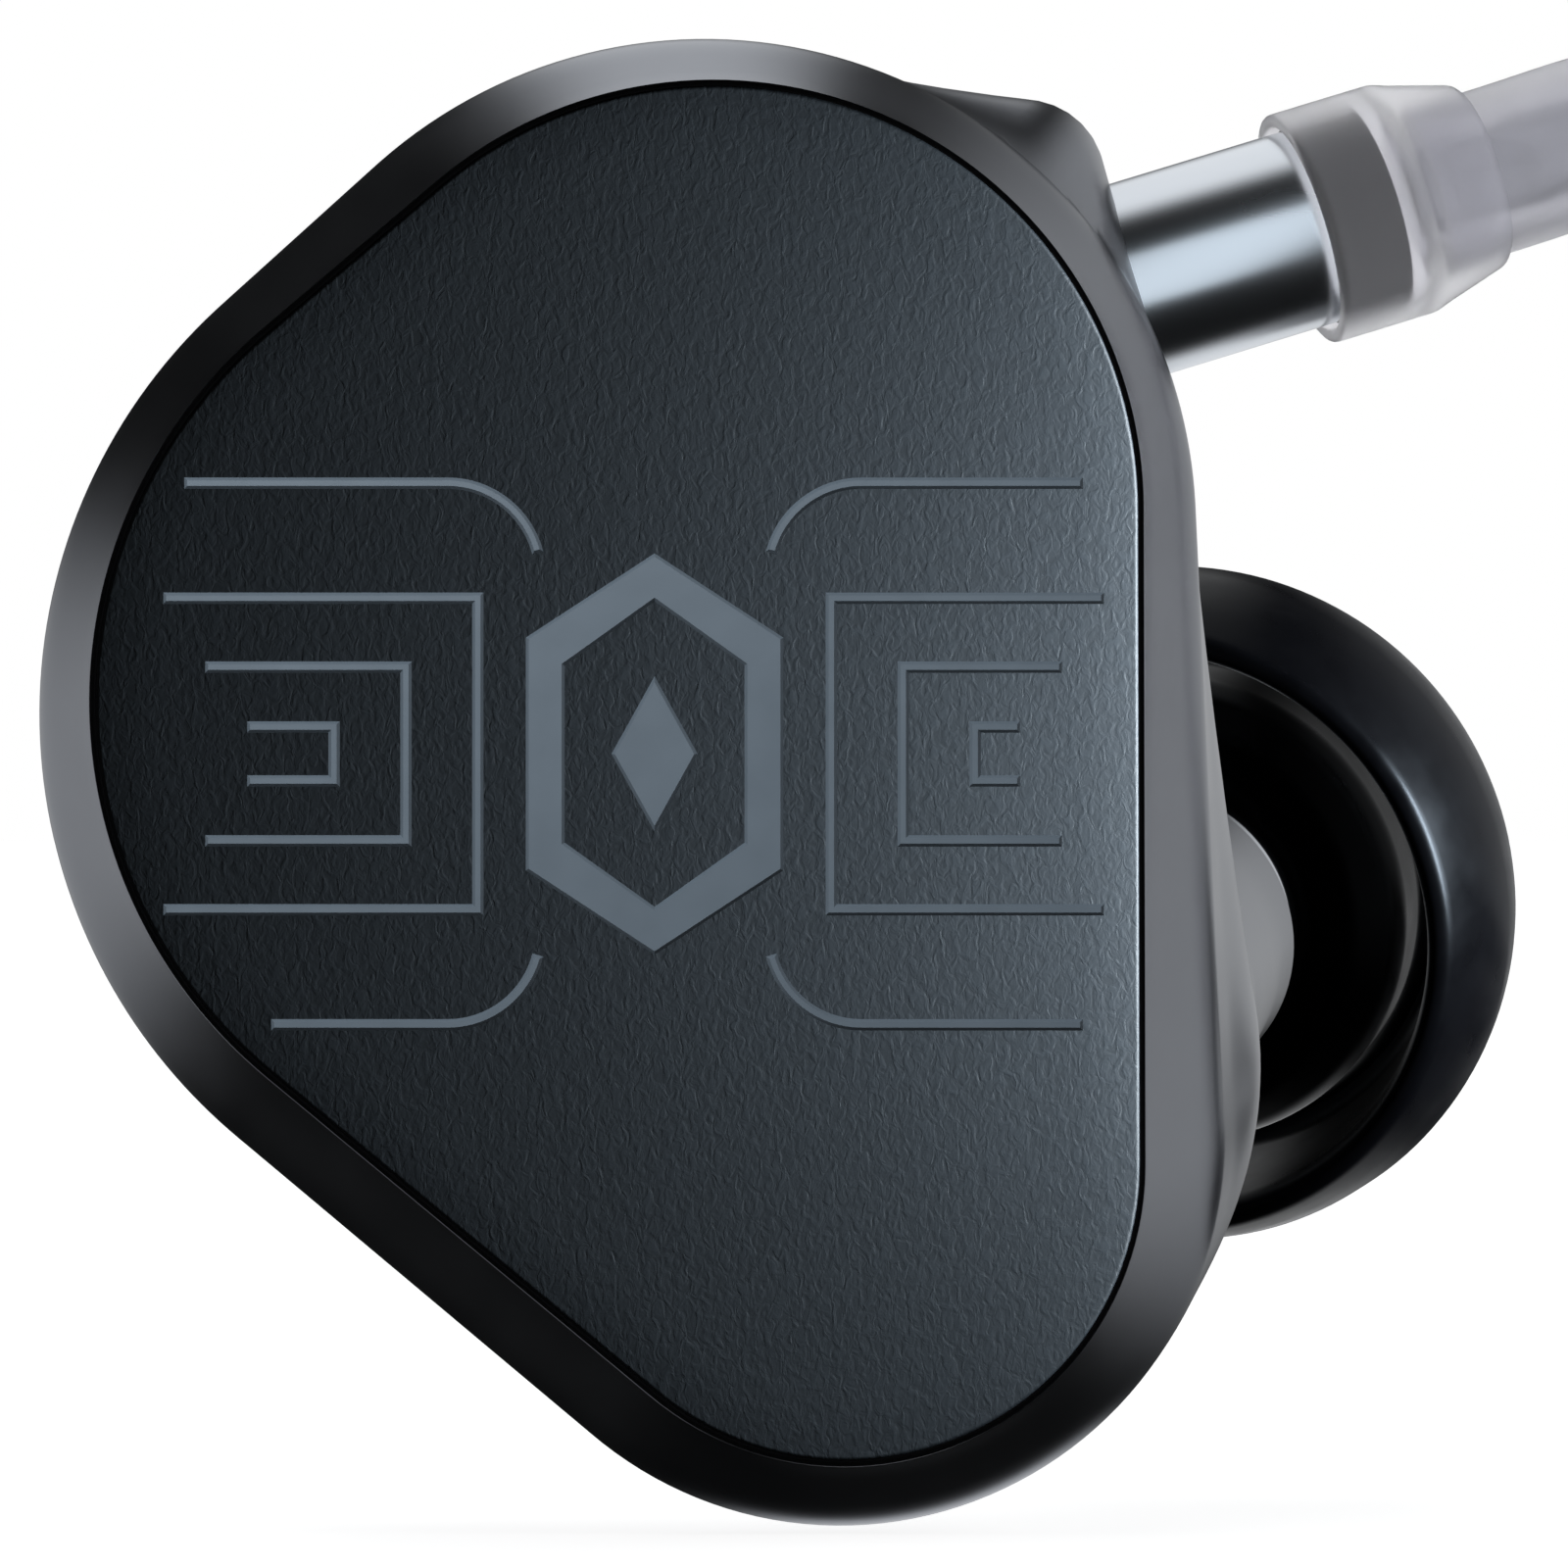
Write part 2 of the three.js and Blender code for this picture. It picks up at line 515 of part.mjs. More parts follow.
// ---------------------------------------------------------------- 3.5 mm plug at the far end
add('jack_strain_relief', turned([
  [CABLE_RADIUS + 0.15, 0], [1.35, 0], [2.3, 6.9], [CABLE_RADIUS + 0.15, 6.9],
], 24), blackPlastic, jackFrame);
add('jack_grip', turned([
  [1.0, 7.0], [2.9, 7.0], [JACK.grip, 7.4], [JACK.grip, 21.4], [2.9, 21.8], [1.0, 21.8],
], 28), steel, jackFrame);
add('jack_sleeve_contact', turned([
  [1.05, 21.9], [2.6, 21.9], [2.6, 22.5], [JACK.pin, 22.5], [JACK.pin, 28.3], [1.05, 28.3],
], 24), gold, jackFrame);
add('jack_insulator_1', pipe(1.05, JACK.pin - 0.05, 28.35, 28.85, 20), blackPlastic, jackFrame);
add('jack_ring_contact', pipe(0.75, JACK.pin, 28.9, 31.1, 24), gold, jackFrame);
add('jack_insulator_2', pipe(0.75, JACK.pin - 0.05, 31.15, 31.65, 20), blackPlastic, jackFrame);
add('jack_tip_contact', turned([
  [0, 24.0], [0.6, 24.0], [0.6, 31.7], [JACK.pin, 31.7], [JACK.pin, 32.3], [1.25, 33.3], [1.55, 34.3],
  [1.0, 35.6], [0, 35.9],
], 24), gold, jackFrame);

// ---------------------------------------------------------------- dynamic driver
add('driver_yoke', turned([
  [0, 0], [3.5, 0], [3.5, 1.65], [3.0, 1.65], [3.0, 0.45], [0, 0.45],
], 32), darkSteel, driverFrame);
add('driver_magnet', rod(2.25, 0.5, 1.2, 28), steel, driverFrame);
add('driver_top_plate', rod(2.35, 1.25, 1.6, 28), darkSteel, driverFrame);
add('driver_frame', turned([
  [3.6, 0.5], [4.1, 0.5], [DRIVER_RADIUS, 1.6], [DRIVER_RADIUS, 2.75], [4.6, 2.75], [4.6, 1.9], [3.6, 1.2],
], 32), blackPlastic, driverFrame);
add('diaphragm_dome', turned([
  [0, 2.85], [1.2, 2.75], [2.2, 2.3], [2.75, 2.12], [3.6, 2.45], [4.4, 2.2], [4.4, 2.08], [3.6, 2.33],
  [2.75, 2.0], [2.2, 2.18], [1.2, 2.63], [0, 2.73],
], 32), film, driverFrame);
add('voice_coil', pipe(2.45, 2.85, 0.85, 1.88, 28), copper, driverFrame);
function frontCover() {
  const holes = Array.from({ length: 6 }, (_, i) => rod(0.55, 2.5, 4, 12)
    .translate(2.4 * Math.cos(i * Math.PI / 3), 0, 2.4 * Math.sin(i * Math.PI / 3)));
  return cut(rod(DRIVER_RADIUS, 3.15, 3.4, 32), rod(0.7, 2.5, 4, 12), ...holes);
}
add('driver_front_cover', frontCover(), darkSteel, driverFrame);

// ---------------------------------------------------------------- balanced armatures, board and wires
add('midrange_driver_case', block(4.8, 2.0, 2.7, 4.9, 3.1, 5.35), steel);
add('midrange_driver_spout', rod(0.5, 0, 0.8, 14).translate(6.4, 4.2, 5.4), steel);
add('treble_driver_case', block(1.2, 2.2, 4.2, 8.25, 3.3, 10.4), steel);
add('treble_driver_spout', rod(0.4, 0, 0.7, 14).translate(8.25, 4.5, 11.2), steel);
const midrangeRoute = curveThrough([[6.4, 5.4, 5.5], [6.8, 6.2, 6.2], [6.9, 7.0, 7.4]]);
const trebleRoute = curveThrough([[8.25, 5.5, 11.2], [8.0, 6.3, 11.0], [7.5, 6.9, 10.6]]);
add('midrange_sound_tube', tube(midrangeRoute, 0.6, 5, 8, 0.35), clear);
add('treble_sound_tube', tube(trebleRoute, 0.55, 4, 8, 0.3), clear);
add('crossover_board', block(6.6, 0.5, 3.4, 0.3, 2.35, 20.1), boardGreen);
add('crossover_capacitor_1', block(1.6, 0.9, 0.9, -1.8, 3.1, 20.9), film);
add('crossover_capacitor_2', block(1.6, 0.9, 0.9, 0.4, 3.1, 20.9), film);
add('crossover_resistor', block(1.2, 0.5, 0.6, -0.8, 2.9, 19.2), blackPlastic);
const wire = (points) => tube(curveThrough(points), 0.2, 6, 6);
add('socket_wire_1', wire([[4.3, 4.1, 20.3], [3.6, 4.3, 20.6], [2.9, 3.6, 20.9], [2.6, 2.9, 21.0]]), copper);
add('socket_wire_2', wire([[4.4, 5.4, 19.0], [3.4, 5.2, 19.0], [2.8, 3.9, 19.2], [2.6, 2.9, 19.3]]), gold);
const driverWire = wire([[-2.0, 2.85, 18.7], [-2.4, 3.6, 18.2], [-2.5, 4.6, 17.2], [-2.0, 5.2, 16.6]]);
add('driver_wire', driverWire, copper);

// ---------------------------------------------------------------- the model's origin
// The origin is under the middle of the earpiece, without the pieces that lie along the lead.
const ON_THE_LEAD = ['cable', 'ear_guide', 'cable_coil', 'cable_tail', 'cable_tie'];
const earpieceBox = new THREE.Box3();
monitor.updateMatrixWorld(true);
monitor.traverse((piece) => {
  const offLead = piece.isMesh && !ON_THE_LEAD.includes(piece.name) && !piece.name.startsWith('jack_');
  if (offLead) earpieceBox.expandByObject(piece, true);
});
monitor.position.set(
  -(earpieceBox.min.x + earpieceBox.max.x) / 2,
  -(earpieceBox.min.y + earpieceBox.max.y) / 2,
  -earpieceBox.min.z,
);

export default monitor;
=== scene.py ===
# Looks of one right in-ear monitor with its lead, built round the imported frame.
# Shapes are worked out in millimetres in the design's own frame, and placed in metres by place().
import json
import math

import bmesh
import bpy
import numpy as np
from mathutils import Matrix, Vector


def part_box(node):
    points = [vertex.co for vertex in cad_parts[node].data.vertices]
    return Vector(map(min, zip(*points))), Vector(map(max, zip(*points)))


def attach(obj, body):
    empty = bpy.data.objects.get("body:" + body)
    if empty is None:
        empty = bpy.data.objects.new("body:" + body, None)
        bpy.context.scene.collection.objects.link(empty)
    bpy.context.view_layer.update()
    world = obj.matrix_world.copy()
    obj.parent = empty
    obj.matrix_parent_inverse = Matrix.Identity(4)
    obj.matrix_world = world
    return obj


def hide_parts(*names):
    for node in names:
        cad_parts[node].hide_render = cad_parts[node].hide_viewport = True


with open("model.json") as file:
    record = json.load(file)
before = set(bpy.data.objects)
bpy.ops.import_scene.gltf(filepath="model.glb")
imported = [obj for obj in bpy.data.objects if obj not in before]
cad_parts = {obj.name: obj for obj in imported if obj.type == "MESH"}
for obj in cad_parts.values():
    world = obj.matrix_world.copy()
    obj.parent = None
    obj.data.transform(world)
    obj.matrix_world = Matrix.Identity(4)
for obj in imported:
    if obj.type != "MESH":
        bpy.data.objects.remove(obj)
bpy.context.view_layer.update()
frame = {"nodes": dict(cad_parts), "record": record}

MM = 0.001

# ---------------------------------------------------------------- driving dimensions, as in the CAD
# The shell is a stack of outlines, each a belt drawn tight round four discs: y, then [x, z, radius] of
# the crown, cheek, heel and nose discs.
SHELL = [
    (0.00, (1.59, 17.08, 7.15), (-0.70, 13.88, 8.11), (3.77, 6.13, 5.00), (4.8, 20.2, 0.8)),
    (1.05, (1.43, 16.75, 8.25), (-0.49, 13.67, 9.27), (3.65, 6.43, 6.43), (5.5, 21.1, 1.3)),
    (2.30, (1.46, 16.70, 8.20), (-0.40, 13.65, 9.15), (3.95, 6.75, 6.40), (6.6, 22.45, 1.4)),
    (4.50, (1.70, 16.20, 7.90), (0.00, 13.40, 8.60), (4.90, 7.60, 5.95), (6.8, 22.60, 1.35)),
    (6.90, (2.40, 14.90, 6.60), (1.30, 12.80, 7.20), (5.70, 8.30, 4.95), (6.2, 21.3, 1.3)),
    (8.60, (3.40, 13.60, 4.30), (2.90, 12.30, 4.70), (6.20, 9.00, 3.50), (5.0, 16.5, 1.2)),
    (9.40, (4.40, 12.30, 1.60), (4.20, 11.90, 1.80), (6.20, 10.0, 1.40), (4.8, 13.0, 0.8)),
]
WALL = 1.0
LEDGE = 0.65
POCKET_DEPTH = 1.5
PLATE_FRONT = 0.15
PLATE_BACK = 1.05
PLATE_GAP = 0.07
RELIEF = 0.11
LINE_WIDTH = 0.19
MOTIF = (0.6, 13.0)

NOZZLE_AT = (9.05, 10.9, 9.88)
NOZZLE_DIRECTION = (0.275, 0.934, 0.228)
NECK_RADIUS = 2.7
NOZZLE_RADIUS = 2.15
NOZZLE_BORE = 1.45
NOZZLE_LENGTH = 4.7
EAR_TIP_RADIUS = 5.95
EAR_TIP_LENGTH = 6.5

PLUG_AT = (8.92, 4.60, 21.12)
PLUG_DIRECTION = (0.937, 0.191, 0.292)
SOCKET_RADIUS = 1.60
SOCKET_DEPTH = 3.7
SOCKET_FACE = 1.0                # how far the barrel's end stands below the shell's surface
BARREL_RADIUS = 1.69
BARREL_LENGTH = 2.95
SLEEVE_RADIUS = 2.02
VENT_AT = (-2.2, 5.2, 15.6)
VENT_DIRECTION = (-0.45, 0.85, 0.28)

CABLE_RADIUS = 0.80
GUIDE_RADIUS = 1.43
GUIDE_BORE = 1.15
GUIDE_SHARE = 11 / 18            # how much of the lead's way to the coil the ear guide covers
COIL = dict(x=34.0, y=21.7, inner=5.2, outer=14.2, bottom=0.42, top=6.82)
TIE = dict(thickness=0.35, width=3.2, gap=0.12)
JACK = dict(x=27.6, y=16.2, z=10.15, grip=3.2, pin=1.75)

# ---------------------------------------------------------------- placing
coil_low, coil_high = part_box("cable_coil")
ORIGIN = np.array([
    (coil_low[0] + coil_high[0]) / 2 - COIL["x"] * MM,
    (coil_low[1] + coil_high[1]) / 2 - COIL["y"] * MM,
    coil_low[2] - COIL["bottom"] * MM,
])


def place(points):
    """Design millimetres to the frame's metres."""
    return np.asarray(points, float) * MM + ORIGIN


def unit(vector):
    vector = np.asarray(vector, float)
    return vector / np.linalg.norm(vector)


# ---------------------------------------------------------------- camera
VIEW_CENTRE = (2.76, 12.5)       # x and z at the middle of the picture
CAMERA_DISTANCE = 250.0
FRAME_WIDTH = 26.16              # millimetres across the picture at the faceplate

camera = bpy.data.objects.new("camera", bpy.data.cameras.new("camera"))
bpy.context.scene.collection.objects.link(camera)
camera.location = place((VIEW_CENTRE[0], -CAMERA_DISTANCE, VIEW_CENTRE[1]))
camera.rotation_euler = (math.pi / 2, 0, 0)
camera.data.sensor_width = 36.0
camera.data.lens = 36.0 * CAMERA_DISTANCE / FRAME_WIDTH
camera.data.clip_start = 0.01
camera.data.clip_end = 10.0
bpy.context.scene.camera = camera


# ---------------------------------------------------------------- curves
def smooth_line(points, step):
    """A centripetal Catmull-Rom curve through given points, sampled about every step."""
    points = np.asarray(points, float)
    ends = [2 * points[0] - points[1], 2 * points[-1] - points[-2]]
    padded = np.vstack([ends[0], points, ends[1]])
    line = []
    for i in range(1, len(padded) - 2):
        a, b, c, d = padded[i - 1:i + 3]
        k0 = 0.0
        k1 = k0 + math.sqrt(np.linalg.norm(b - a))
        k2 = k1 + math.sqrt(np.linalg.norm(c - b))
        k3 = k2 + math.sqrt(np.linalg.norm(d - c))
        count = max(2, int(np.linalg.norm(c - b) / step))
        for j in range(count):
            k = k1 + (k2 - k1) * j / count
            ab = (k1 - k) / (k1 - k0) * a + (k - k0) / (k1 - k0) * b
            bc = (k2 - k) / (k2 - k1) * b + (k - k1) / (k2 - k1) * c
            cd = (k3 - k) / (k3 - k2) * c + (k - k2) / (k3 - k2) * d
            abc = (k2 - k) / (k2 - k0) * ab + (k - k0) / (k2 - k0) * bc
            bcd = (k3 - k) / (k3 - k1) * bc + (k - k1) / (k3 - k1) * cd
            line.append((k2 - k) / (k2 - k1) * abc + (k - k1) / (k2 - k1) * bcd)
    line.append(points[-1])
    return np.array(line)


def evenly(line, step):
    """The same line with points an even step apart."""
    steps = np.linalg.norm(np.diff(line, axis=0), axis=1)
    along = np.concatenate([[0.0], np.cumsum(steps)])
    count = max(2, int(round(along[-1] / step)) + 1)
    at = np.linspace(0, along[-1], count)
    return np.stack([np.interp(at, along, line[:, i]) for i in range(3)], axis=1)


def line_length(line):
    return float(np.linalg.norm(np.diff(line, axis=0), axis=1).sum())


def ease(t):
    t = np.clip(t, 0, 1)
    return t * t * (3 - 2 * t)


# ---------------------------------------------------------------- the cord's route
LEAD_START = BARREL_LENGTH + 2.0


def plug_point(distance):
    return tuple(np.array(PLUG_AT) + unit(PLUG_DIRECTION) * distance)


LEAD = [
    plug_point(LEAD_START), plug_point(LEAD_START + 1.6), plug_point(LEAD_START + 4.0),
    (21.2, 6.9, 24.2), (24.9, 6.9, 23.2), (28.0, 6.6, 20.7), (30.2, 6.2, 17.2), (31.6, 5.9, 13.2),
    (32.8, 5.8, 9.2), (34.6, 6.0, 5.4), (37.2, 6.5, 2.5), (40.4, 7.7, 1.05), (43.8, 9.7, 0.85),
    (46.6, 12.6, 0.85),
]
TAIL = [
    (20.8, 21.6, 7.95), (21.6, 19.0, 8.7), (23.5, 17.1, 9.6), (26.0, 16.25, 10.1),
    (JACK["x"] + 1.5, JACK["y"], JACK["z"]),
]
LAYERS = 4
TURNS_PER_LAYER = 4.587
ENTRY_TURN = math.radians(74)
CLIMB_START, CLIMB_SHARE = 0.95, 0.05    # the part of a layer's way in which the lead climbs to the next one
ROUTE_STEP = 0.5


def coil_route():
    """The wound turns: in, out, in and out again, each layer lying on the one below."""
    entry = np.array(LEAD[-1])
    offset = entry[:2] - np.array([COIL["x"], COIL["y"]])
    angle, reach_in = math.atan2(offset[1], offset[0]), np.linalg.norm(offset)
    outer, inner = COIL["outer"] - CABLE_RADIUS, COIL["inner"] + CABLE_RADIUS
    rise = (COIL["top"] - COIL["bottom"] - 2 * CABLE_RADIUS) / (LAYERS - 1)
    base = COIL["bottom"] + CABLE_RADIUS
    points = []
    for t in np.linspace(0, 1, 14, endpoint=False)[1:]:
        turn = angle + ENTRY_TURN * t
        radius = reach_in + (outer - reach_in) * ease(t)
        height = entry[2] + (base - entry[2]) * ease(t)
        points.append((radius, turn, height))
    per_layer = 2 * math.pi * TURNS_PER_LAYER
    steps = int(TURNS_PER_LAYER * 40)
    for layer in range(LAYERS):
        near, far = (outer, inner) if layer % 2 == 0 else (inner, outer)
        for i in range(steps + (layer == LAYERS - 1)):
            t = i / steps
            turn = angle + ENTRY_TURN + per_layer * (layer + t)
            climb = ease((t - CLIMB_START) / CLIMB_SHARE) if layer < LAYERS - 1 else 0.0
            points.append((near + (far - near) * t, turn, base + rise * (layer + climb)))
    return np.array([
        (COIL["x"] + r * math.cos(a), COIL["y"] + r * math.sin(a), z) for r, a, z in points
    ])


def whole_route():
    lead = smooth_line(LEAD, ROUTE_STEP)
    coil = coil_route()
    tail = smooth_line([coil[-14], coil[-7], coil[-1], *TAIL], ROUTE_STEP)
    near = int(np.argmin(np.linalg.norm(tail - coil[-1], axis=1)))
    return evenly(np.vstack([lead, coil, tail[near + 1:]]), ROUTE_STEP)


route = whole_route()


# ---------------------------------------------------------------- mesh tools
WELD_DISTANCE = 2e-7             # metres
SLIVER_LENGTH = 1e-7             # metres
NEARLY_STRAIGHT = 0.985          # cosine above which an outline's corner is left alone
CORNER_SHARE = 0.42              # the most of an edge that one rounded corner takes up


def mesh_piece(name, vertices, faces, sharp=32.0, uv=None):
    """A piece from vertices in design millimetres, smooth shaded except along edges sharper than sharp."""
    mesh = bpy.data.meshes.new(name)
    mesh.from_pydata(place(vertices).tolist(), [], faces)
    if uv is not None:
        layer = mesh.uv_layers.new(name="along")
        for loop in mesh.loops:
            layer.data[loop.index].uv = uv[loop.vertex_index]
    piece = bpy.data.objects.new(name, mesh)
    bpy.context.scene.collection.objects.link(piece)
    tidy_faces(piece, sharp)
    return piece


def tidy_faces(piece, sharp):
    """Welds doubled points, turns all faces outward, and marks the edges that stay sharp."""
    work = bmesh.new()
    work.from_mesh(piece.data)
    bmesh.ops.remove_doubles(work, verts=work.verts, dist=WELD_DISTANCE)
    bmesh.ops.dissolve_degenerate(work, edges=work.edges, dist=SLIVER_LENGTH)
    bmesh.ops.recalc_face_normals(work, faces=work.faces)
    for face in work.faces:
        face.smooth = True
    for edge in work.edges:
        edge.smooth = len(edge.link_faces) != 2 or edge.calc_face_angle(0) < math.radians(sharp)
    work.to_mesh(piece.data)
    work.free()


def softened(outline, size, steps=4):
    """A closed [radius, height] outline with its corners rounded off; corners on the axis stay."""
    outline = [np.array(p[:2], float) for p in outline]
    result = []
    for i, corner in enumerate(outline):
        before, after = outline[i - 1], outline[(i + 1) % len(outline)]
        back, on = before - corner, after - corner
        back_length, on_length = np.linalg.norm(back), np.linalg.norm(on)
        straight = abs(np.dot(back, on)) > NEARLY_STRAIGHT * back_length * on_length
        if corner[0] < 1e-6 or straight or size <= 0:
            result.append(corner)
            continue
        start = corner + back / back_length * min(size, CORNER_SHARE * back_length)
        end = corner + on / on_length * min(size, CORNER_SHARE * on_length)
        for k in range(steps + 1):
            t = k / steps
            result.append((1 - t) ** 2 * start + 2 * t * (1 - t) * corner + t * t * end)
    return result


def across(axis):
    """Two directions square to an axis and to each other."""
    axis = unit(axis)
    helper = np.array([0.0, 0.0, 1.0]) if abs(axis[2]) < 0.9 else np.array([1.0, 0.0, 0.0])
    first = unit(np.cross(axis, helper))
    return first, np.cross(axis, first)


def turned(name, outline, at, axis, segments=96, soft=0.0):
    """A solid of revolution from a closed [radius, height] outline."""
    outline = softened(outline, soft)
    axis_direction = unit(axis)
    first, second = across(axis)
    vertices, rings = [], []
    for radius, height in outline:
        centre = np.array(at, float) + axis_direction * height
        if radius < 1e-6:
            rings.append([len(vertices)] * segments)
            vertices.append(centre)
            continue
        rings.append(list(range(len(vertices), len(vertices) + segments)))
        for k in range(segments):
            angle = 2 * math.pi * k / segments
            vertices.append(centre + radius * (math.cos(angle) * first + math.sin(angle) * second))
    faces = []
    for i, ring in enumerate(rings):
        following = rings[(i + 1) % len(rings)]
        for k in range(segments):
            n = (k + 1) % segments
            corners = list(dict.fromkeys([ring[k], ring[n], following[n], following[k]]))
            if len(corners) > 2:
                faces.append(corners)
    return mesh_piece(name, vertices, faces)


def arc(start, end, steps):
    """The quarter round from one [radius, height] point to another, bulging outward."""
    return [
        (
            start[0] + (end[0] - start[0]) * (1 - math.cos(i / steps * math.pi / 2)),
            start[1] + (end[1] - start[1]) * math.sin(i / steps * math.pi / 2),
        )
        for i in range(steps + 1)
    ]


def swept(name, line, radius, sides=20, bore=0.0):
    """A tube along a line of points, with UV running along it in millimetres and once round it."""
    line = np.asarray(line, float)
    tangents = np.gradient(line, axis=0)
    tangents /= np.linalg.norm(tangents, axis=1)[:, None]
    normal, _ = across(tangents[0])
    along = np.concatenate([[0.0], np.cumsum(np.linalg.norm(np.diff(line, axis=0), axis=1))])
    vertices, uv = [], []

    def ring(centre, n, b, size, v):
        start = len(vertices)
        for k in range(sides):
            angle = 2 * math.pi * k / sides
            vertices.append(centre + size * (math.cos(angle) * n + math.sin(angle) * b))
            uv.append((k / sides, v))
        return list(range(start, start + sides))

    frames = []
    for centre, tangent in zip(line, tangents):
        normal = unit(normal - tangent * np.dot(normal, tangent))
        frames.append((centre, normal, np.cross(tangent, normal), tangent))
    outside = [ring(c, n, b, radius, along[i]) for i, (c, n, b, _) in enumerate(frames)]
    inside = [ring(c, n, b, bore, along[i]) for i, (c, n, b, _) in enumerate(frames)] if bore else []
    faces = []

    def skin(one, two):
        for k in range(sides):
            n = (k + 1) % sides
            faces.append([one[k], one[n], two[n], two[k]])

    for one, two in zip(outside, outside[1:]):
        skin(one, two)
    for one, two in zip(inside, inside[1:]):
        skin(two, one)
    if inside:
        skin(inside[0], outside[0])
        skin(outside[-1], inside[-1])
    else:
        faces.append(list(reversed(outside[0])))
        faces.append(outside[-1])
    return mesh_piece(name, vertices, faces, 50.0, uv)


def applied(piece):
    """Turns a piece's modifiers into its mesh."""
    bpy.context.view_layer.update()
    shaped = piece.evaluated_get(bpy.context.evaluated_depsgraph_get())
    mesh = bpy.data.meshes.new_from_object(shaped)
    piece.modifiers.clear()
    old = piece.data
    piece.data = mesh
    bpy.data.meshes.remove(old)


def carved(piece, tool, operation):
    """Joins or cuts one piece with another, which is used up."""
    modifier = piece.modifiers.new("carve", "BOOLEAN")
    modifier.operation = operation
    modifier.solver = "EXACT"
    modifier.object = tool
    applied(piece)
    tool_mesh = tool.data
    bpy.data.objects.remove(tool)
    bpy.data.meshes.remove(tool_mesh)


def merged(name, pieces, sharp):
    """Several meshes as one piece."""
    work = bmesh.new()
    for piece in pieces:
        work.from_mesh(piece.data)
        mesh = piece.data
        bpy.data.objects.remove(piece)
        bpy.data.meshes.remove(mesh)
    mesh = bpy.data.meshes.new(name)
    work.to_mesh(mesh)
    work.free()
    piece = bpy.data.objects.new(name, mesh)
    bpy.context.scene.collection.objects.link(piece)
    tidy_faces(piece, sharp)
    return piece


def settled(piece, body, slot, look, *nodes):
    """Gives a piece its material and its body, and hides the CAD nodes it stands for; the slot argument is
    not used.
    """
    piece.data.materials.clear()
    piece.data.materials.append(look)
    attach(piece, body)
    if nodes:
        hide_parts(*nodes)
    return piece


# ---------------------------------------------------------------- belt outlines
RING_POINTS = 300
RING_ANGLES = np.linspace(0, 2 * math.pi, RING_POINTS, endpoint=False)


def station_at(station_place):
    """The shell's height and discs at any place along the stack, smooth from the rim to the back."""
    rows = [np.concatenate([[y], *discs]) for y, *discs in SHELL]
    if station_place <= 1:
        row = rows[0] + (rows[1] - rows[0]) * station_place
    else:
        start = min(int(station_place), len(rows) - 2)
        t = station_place - start
        a, b, c, d = [rows[min(max(i, 1), len(rows) - 1)] for i in range(start - 1, start + 3)]
        square, cube = 2 * a - 5 * b + 4 * c - d, 3 * b - 3 * c + d - a
        row = 0.5 * (2 * b + (c - a) * t + square * t ** 2 + cube * t ** 3)
    return row[0], row[1:].reshape(4, 3)


def belt_ring(discs, height, inset=0.0):
    """Points round a belt drawn tight round the discs: along each ray, the nearest of its tangent lines."""
    middle = discs[:3, :2].mean(axis=0)

    def reach(facing):
        angle = RING_ANGLES[:, None] + facing
        support = np.max([
            (x - middle[0]) * np.cos(angle) + (z - middle[1]) * np.sin(angle) + r - inset for x, z, r in discs
        ], axis=0)
        return support / np.cos(facing)

    coarse = np.linspace(-0.45 * math.pi, 0.45 * math.pi, 121)
    nearest = coarse[np.argmin(reach(coarse[None, :]), axis=1)]
    step = coarse[1] - coarse[0]
    distance = reach(nearest[:, None] + np.linspace(-step, step, 161)[None, :]).min(axis=1)
    return np.stack([
        middle[0] + distance * np.cos(RING_ANGLES),
        np.full(RING_POINTS, height),
        middle[1] + distance * np.sin(RING_ANGLES),
    ], axis=1)


def shell_ring(station_place, inset=0.0, drop_nose=False):
    height, discs = station_at(station_place)
    if drop_nose:
        discs = np.vstack([discs[:3], discs[:1]])
    return belt_ring(discs, height, inset)


def lofted(name, rings, sharp):
    """A closed skin over a stack of rings, with a fan over each end."""
    count = len(rings[0])
    vertices = np.vstack(rings).tolist()
    faces = []
    for row in range(len(rings) - 1):
        for k in range(count):
            n = (k + 1) % count
            faces.append([row * count + k, row * count + n, (row + 1) * count + n, (row + 1) * count + k])
    for row in (0, len(rings) - 1):
        middle = len(vertices)
        vertices.append(np.mean(rings[row], axis=0).tolist())
        faces += [[row * count + k, row * count + (k + 1) % count, middle] for k in range(count)]
    return mesh_piece(name, vertices, faces, sharp)


def rounded_rings(before, corner, after, steps):
    """Rings that turn the corner between two surfaces in a soft round."""
    return [
        (1 - t) ** 2 * before + 2 * t * (1 - t) * corner + t * t * after
        for t in np.linspace(0, 1, steps + 1)
    ]


# ---------------------------------------------------------------- finishes
def new_look(name):
    look = bpy.data.materials.new(name)
    look.use_nodes = True
    return look, look.node_tree.nodes, look.node_tree.links, look.node_tree.nodes["Principled BSDF"]


def scaled_noise(nodes, links, size_mm, detail=3.0, stretch=(1, 1, 1), distortion=0.0):
    """A noise whose features are about size_mm across, in the piece's own coordinates."""
    coords = nodes.new("ShaderNodeTexCoord")
    mapping = nodes.new("ShaderNodeMapping")
    mapping.inputs["Scale"].default_value = [s / (size_mm * MM) for s in stretch]
    noise = nodes.new("ShaderNodeTexNoise")
    noise.inputs["Scale"].default_value = 1.0
    noise.inputs["Detail"].default_value = detail
    noise.inputs["Distortion"].default_value = distortion
    links.new(coords.outputs["Object"], mapping.inputs["Vector"])
    links.new(mapping.outputs["Vector"], noise.inputs["Vector"])
    return noise.outputs["Fac"]


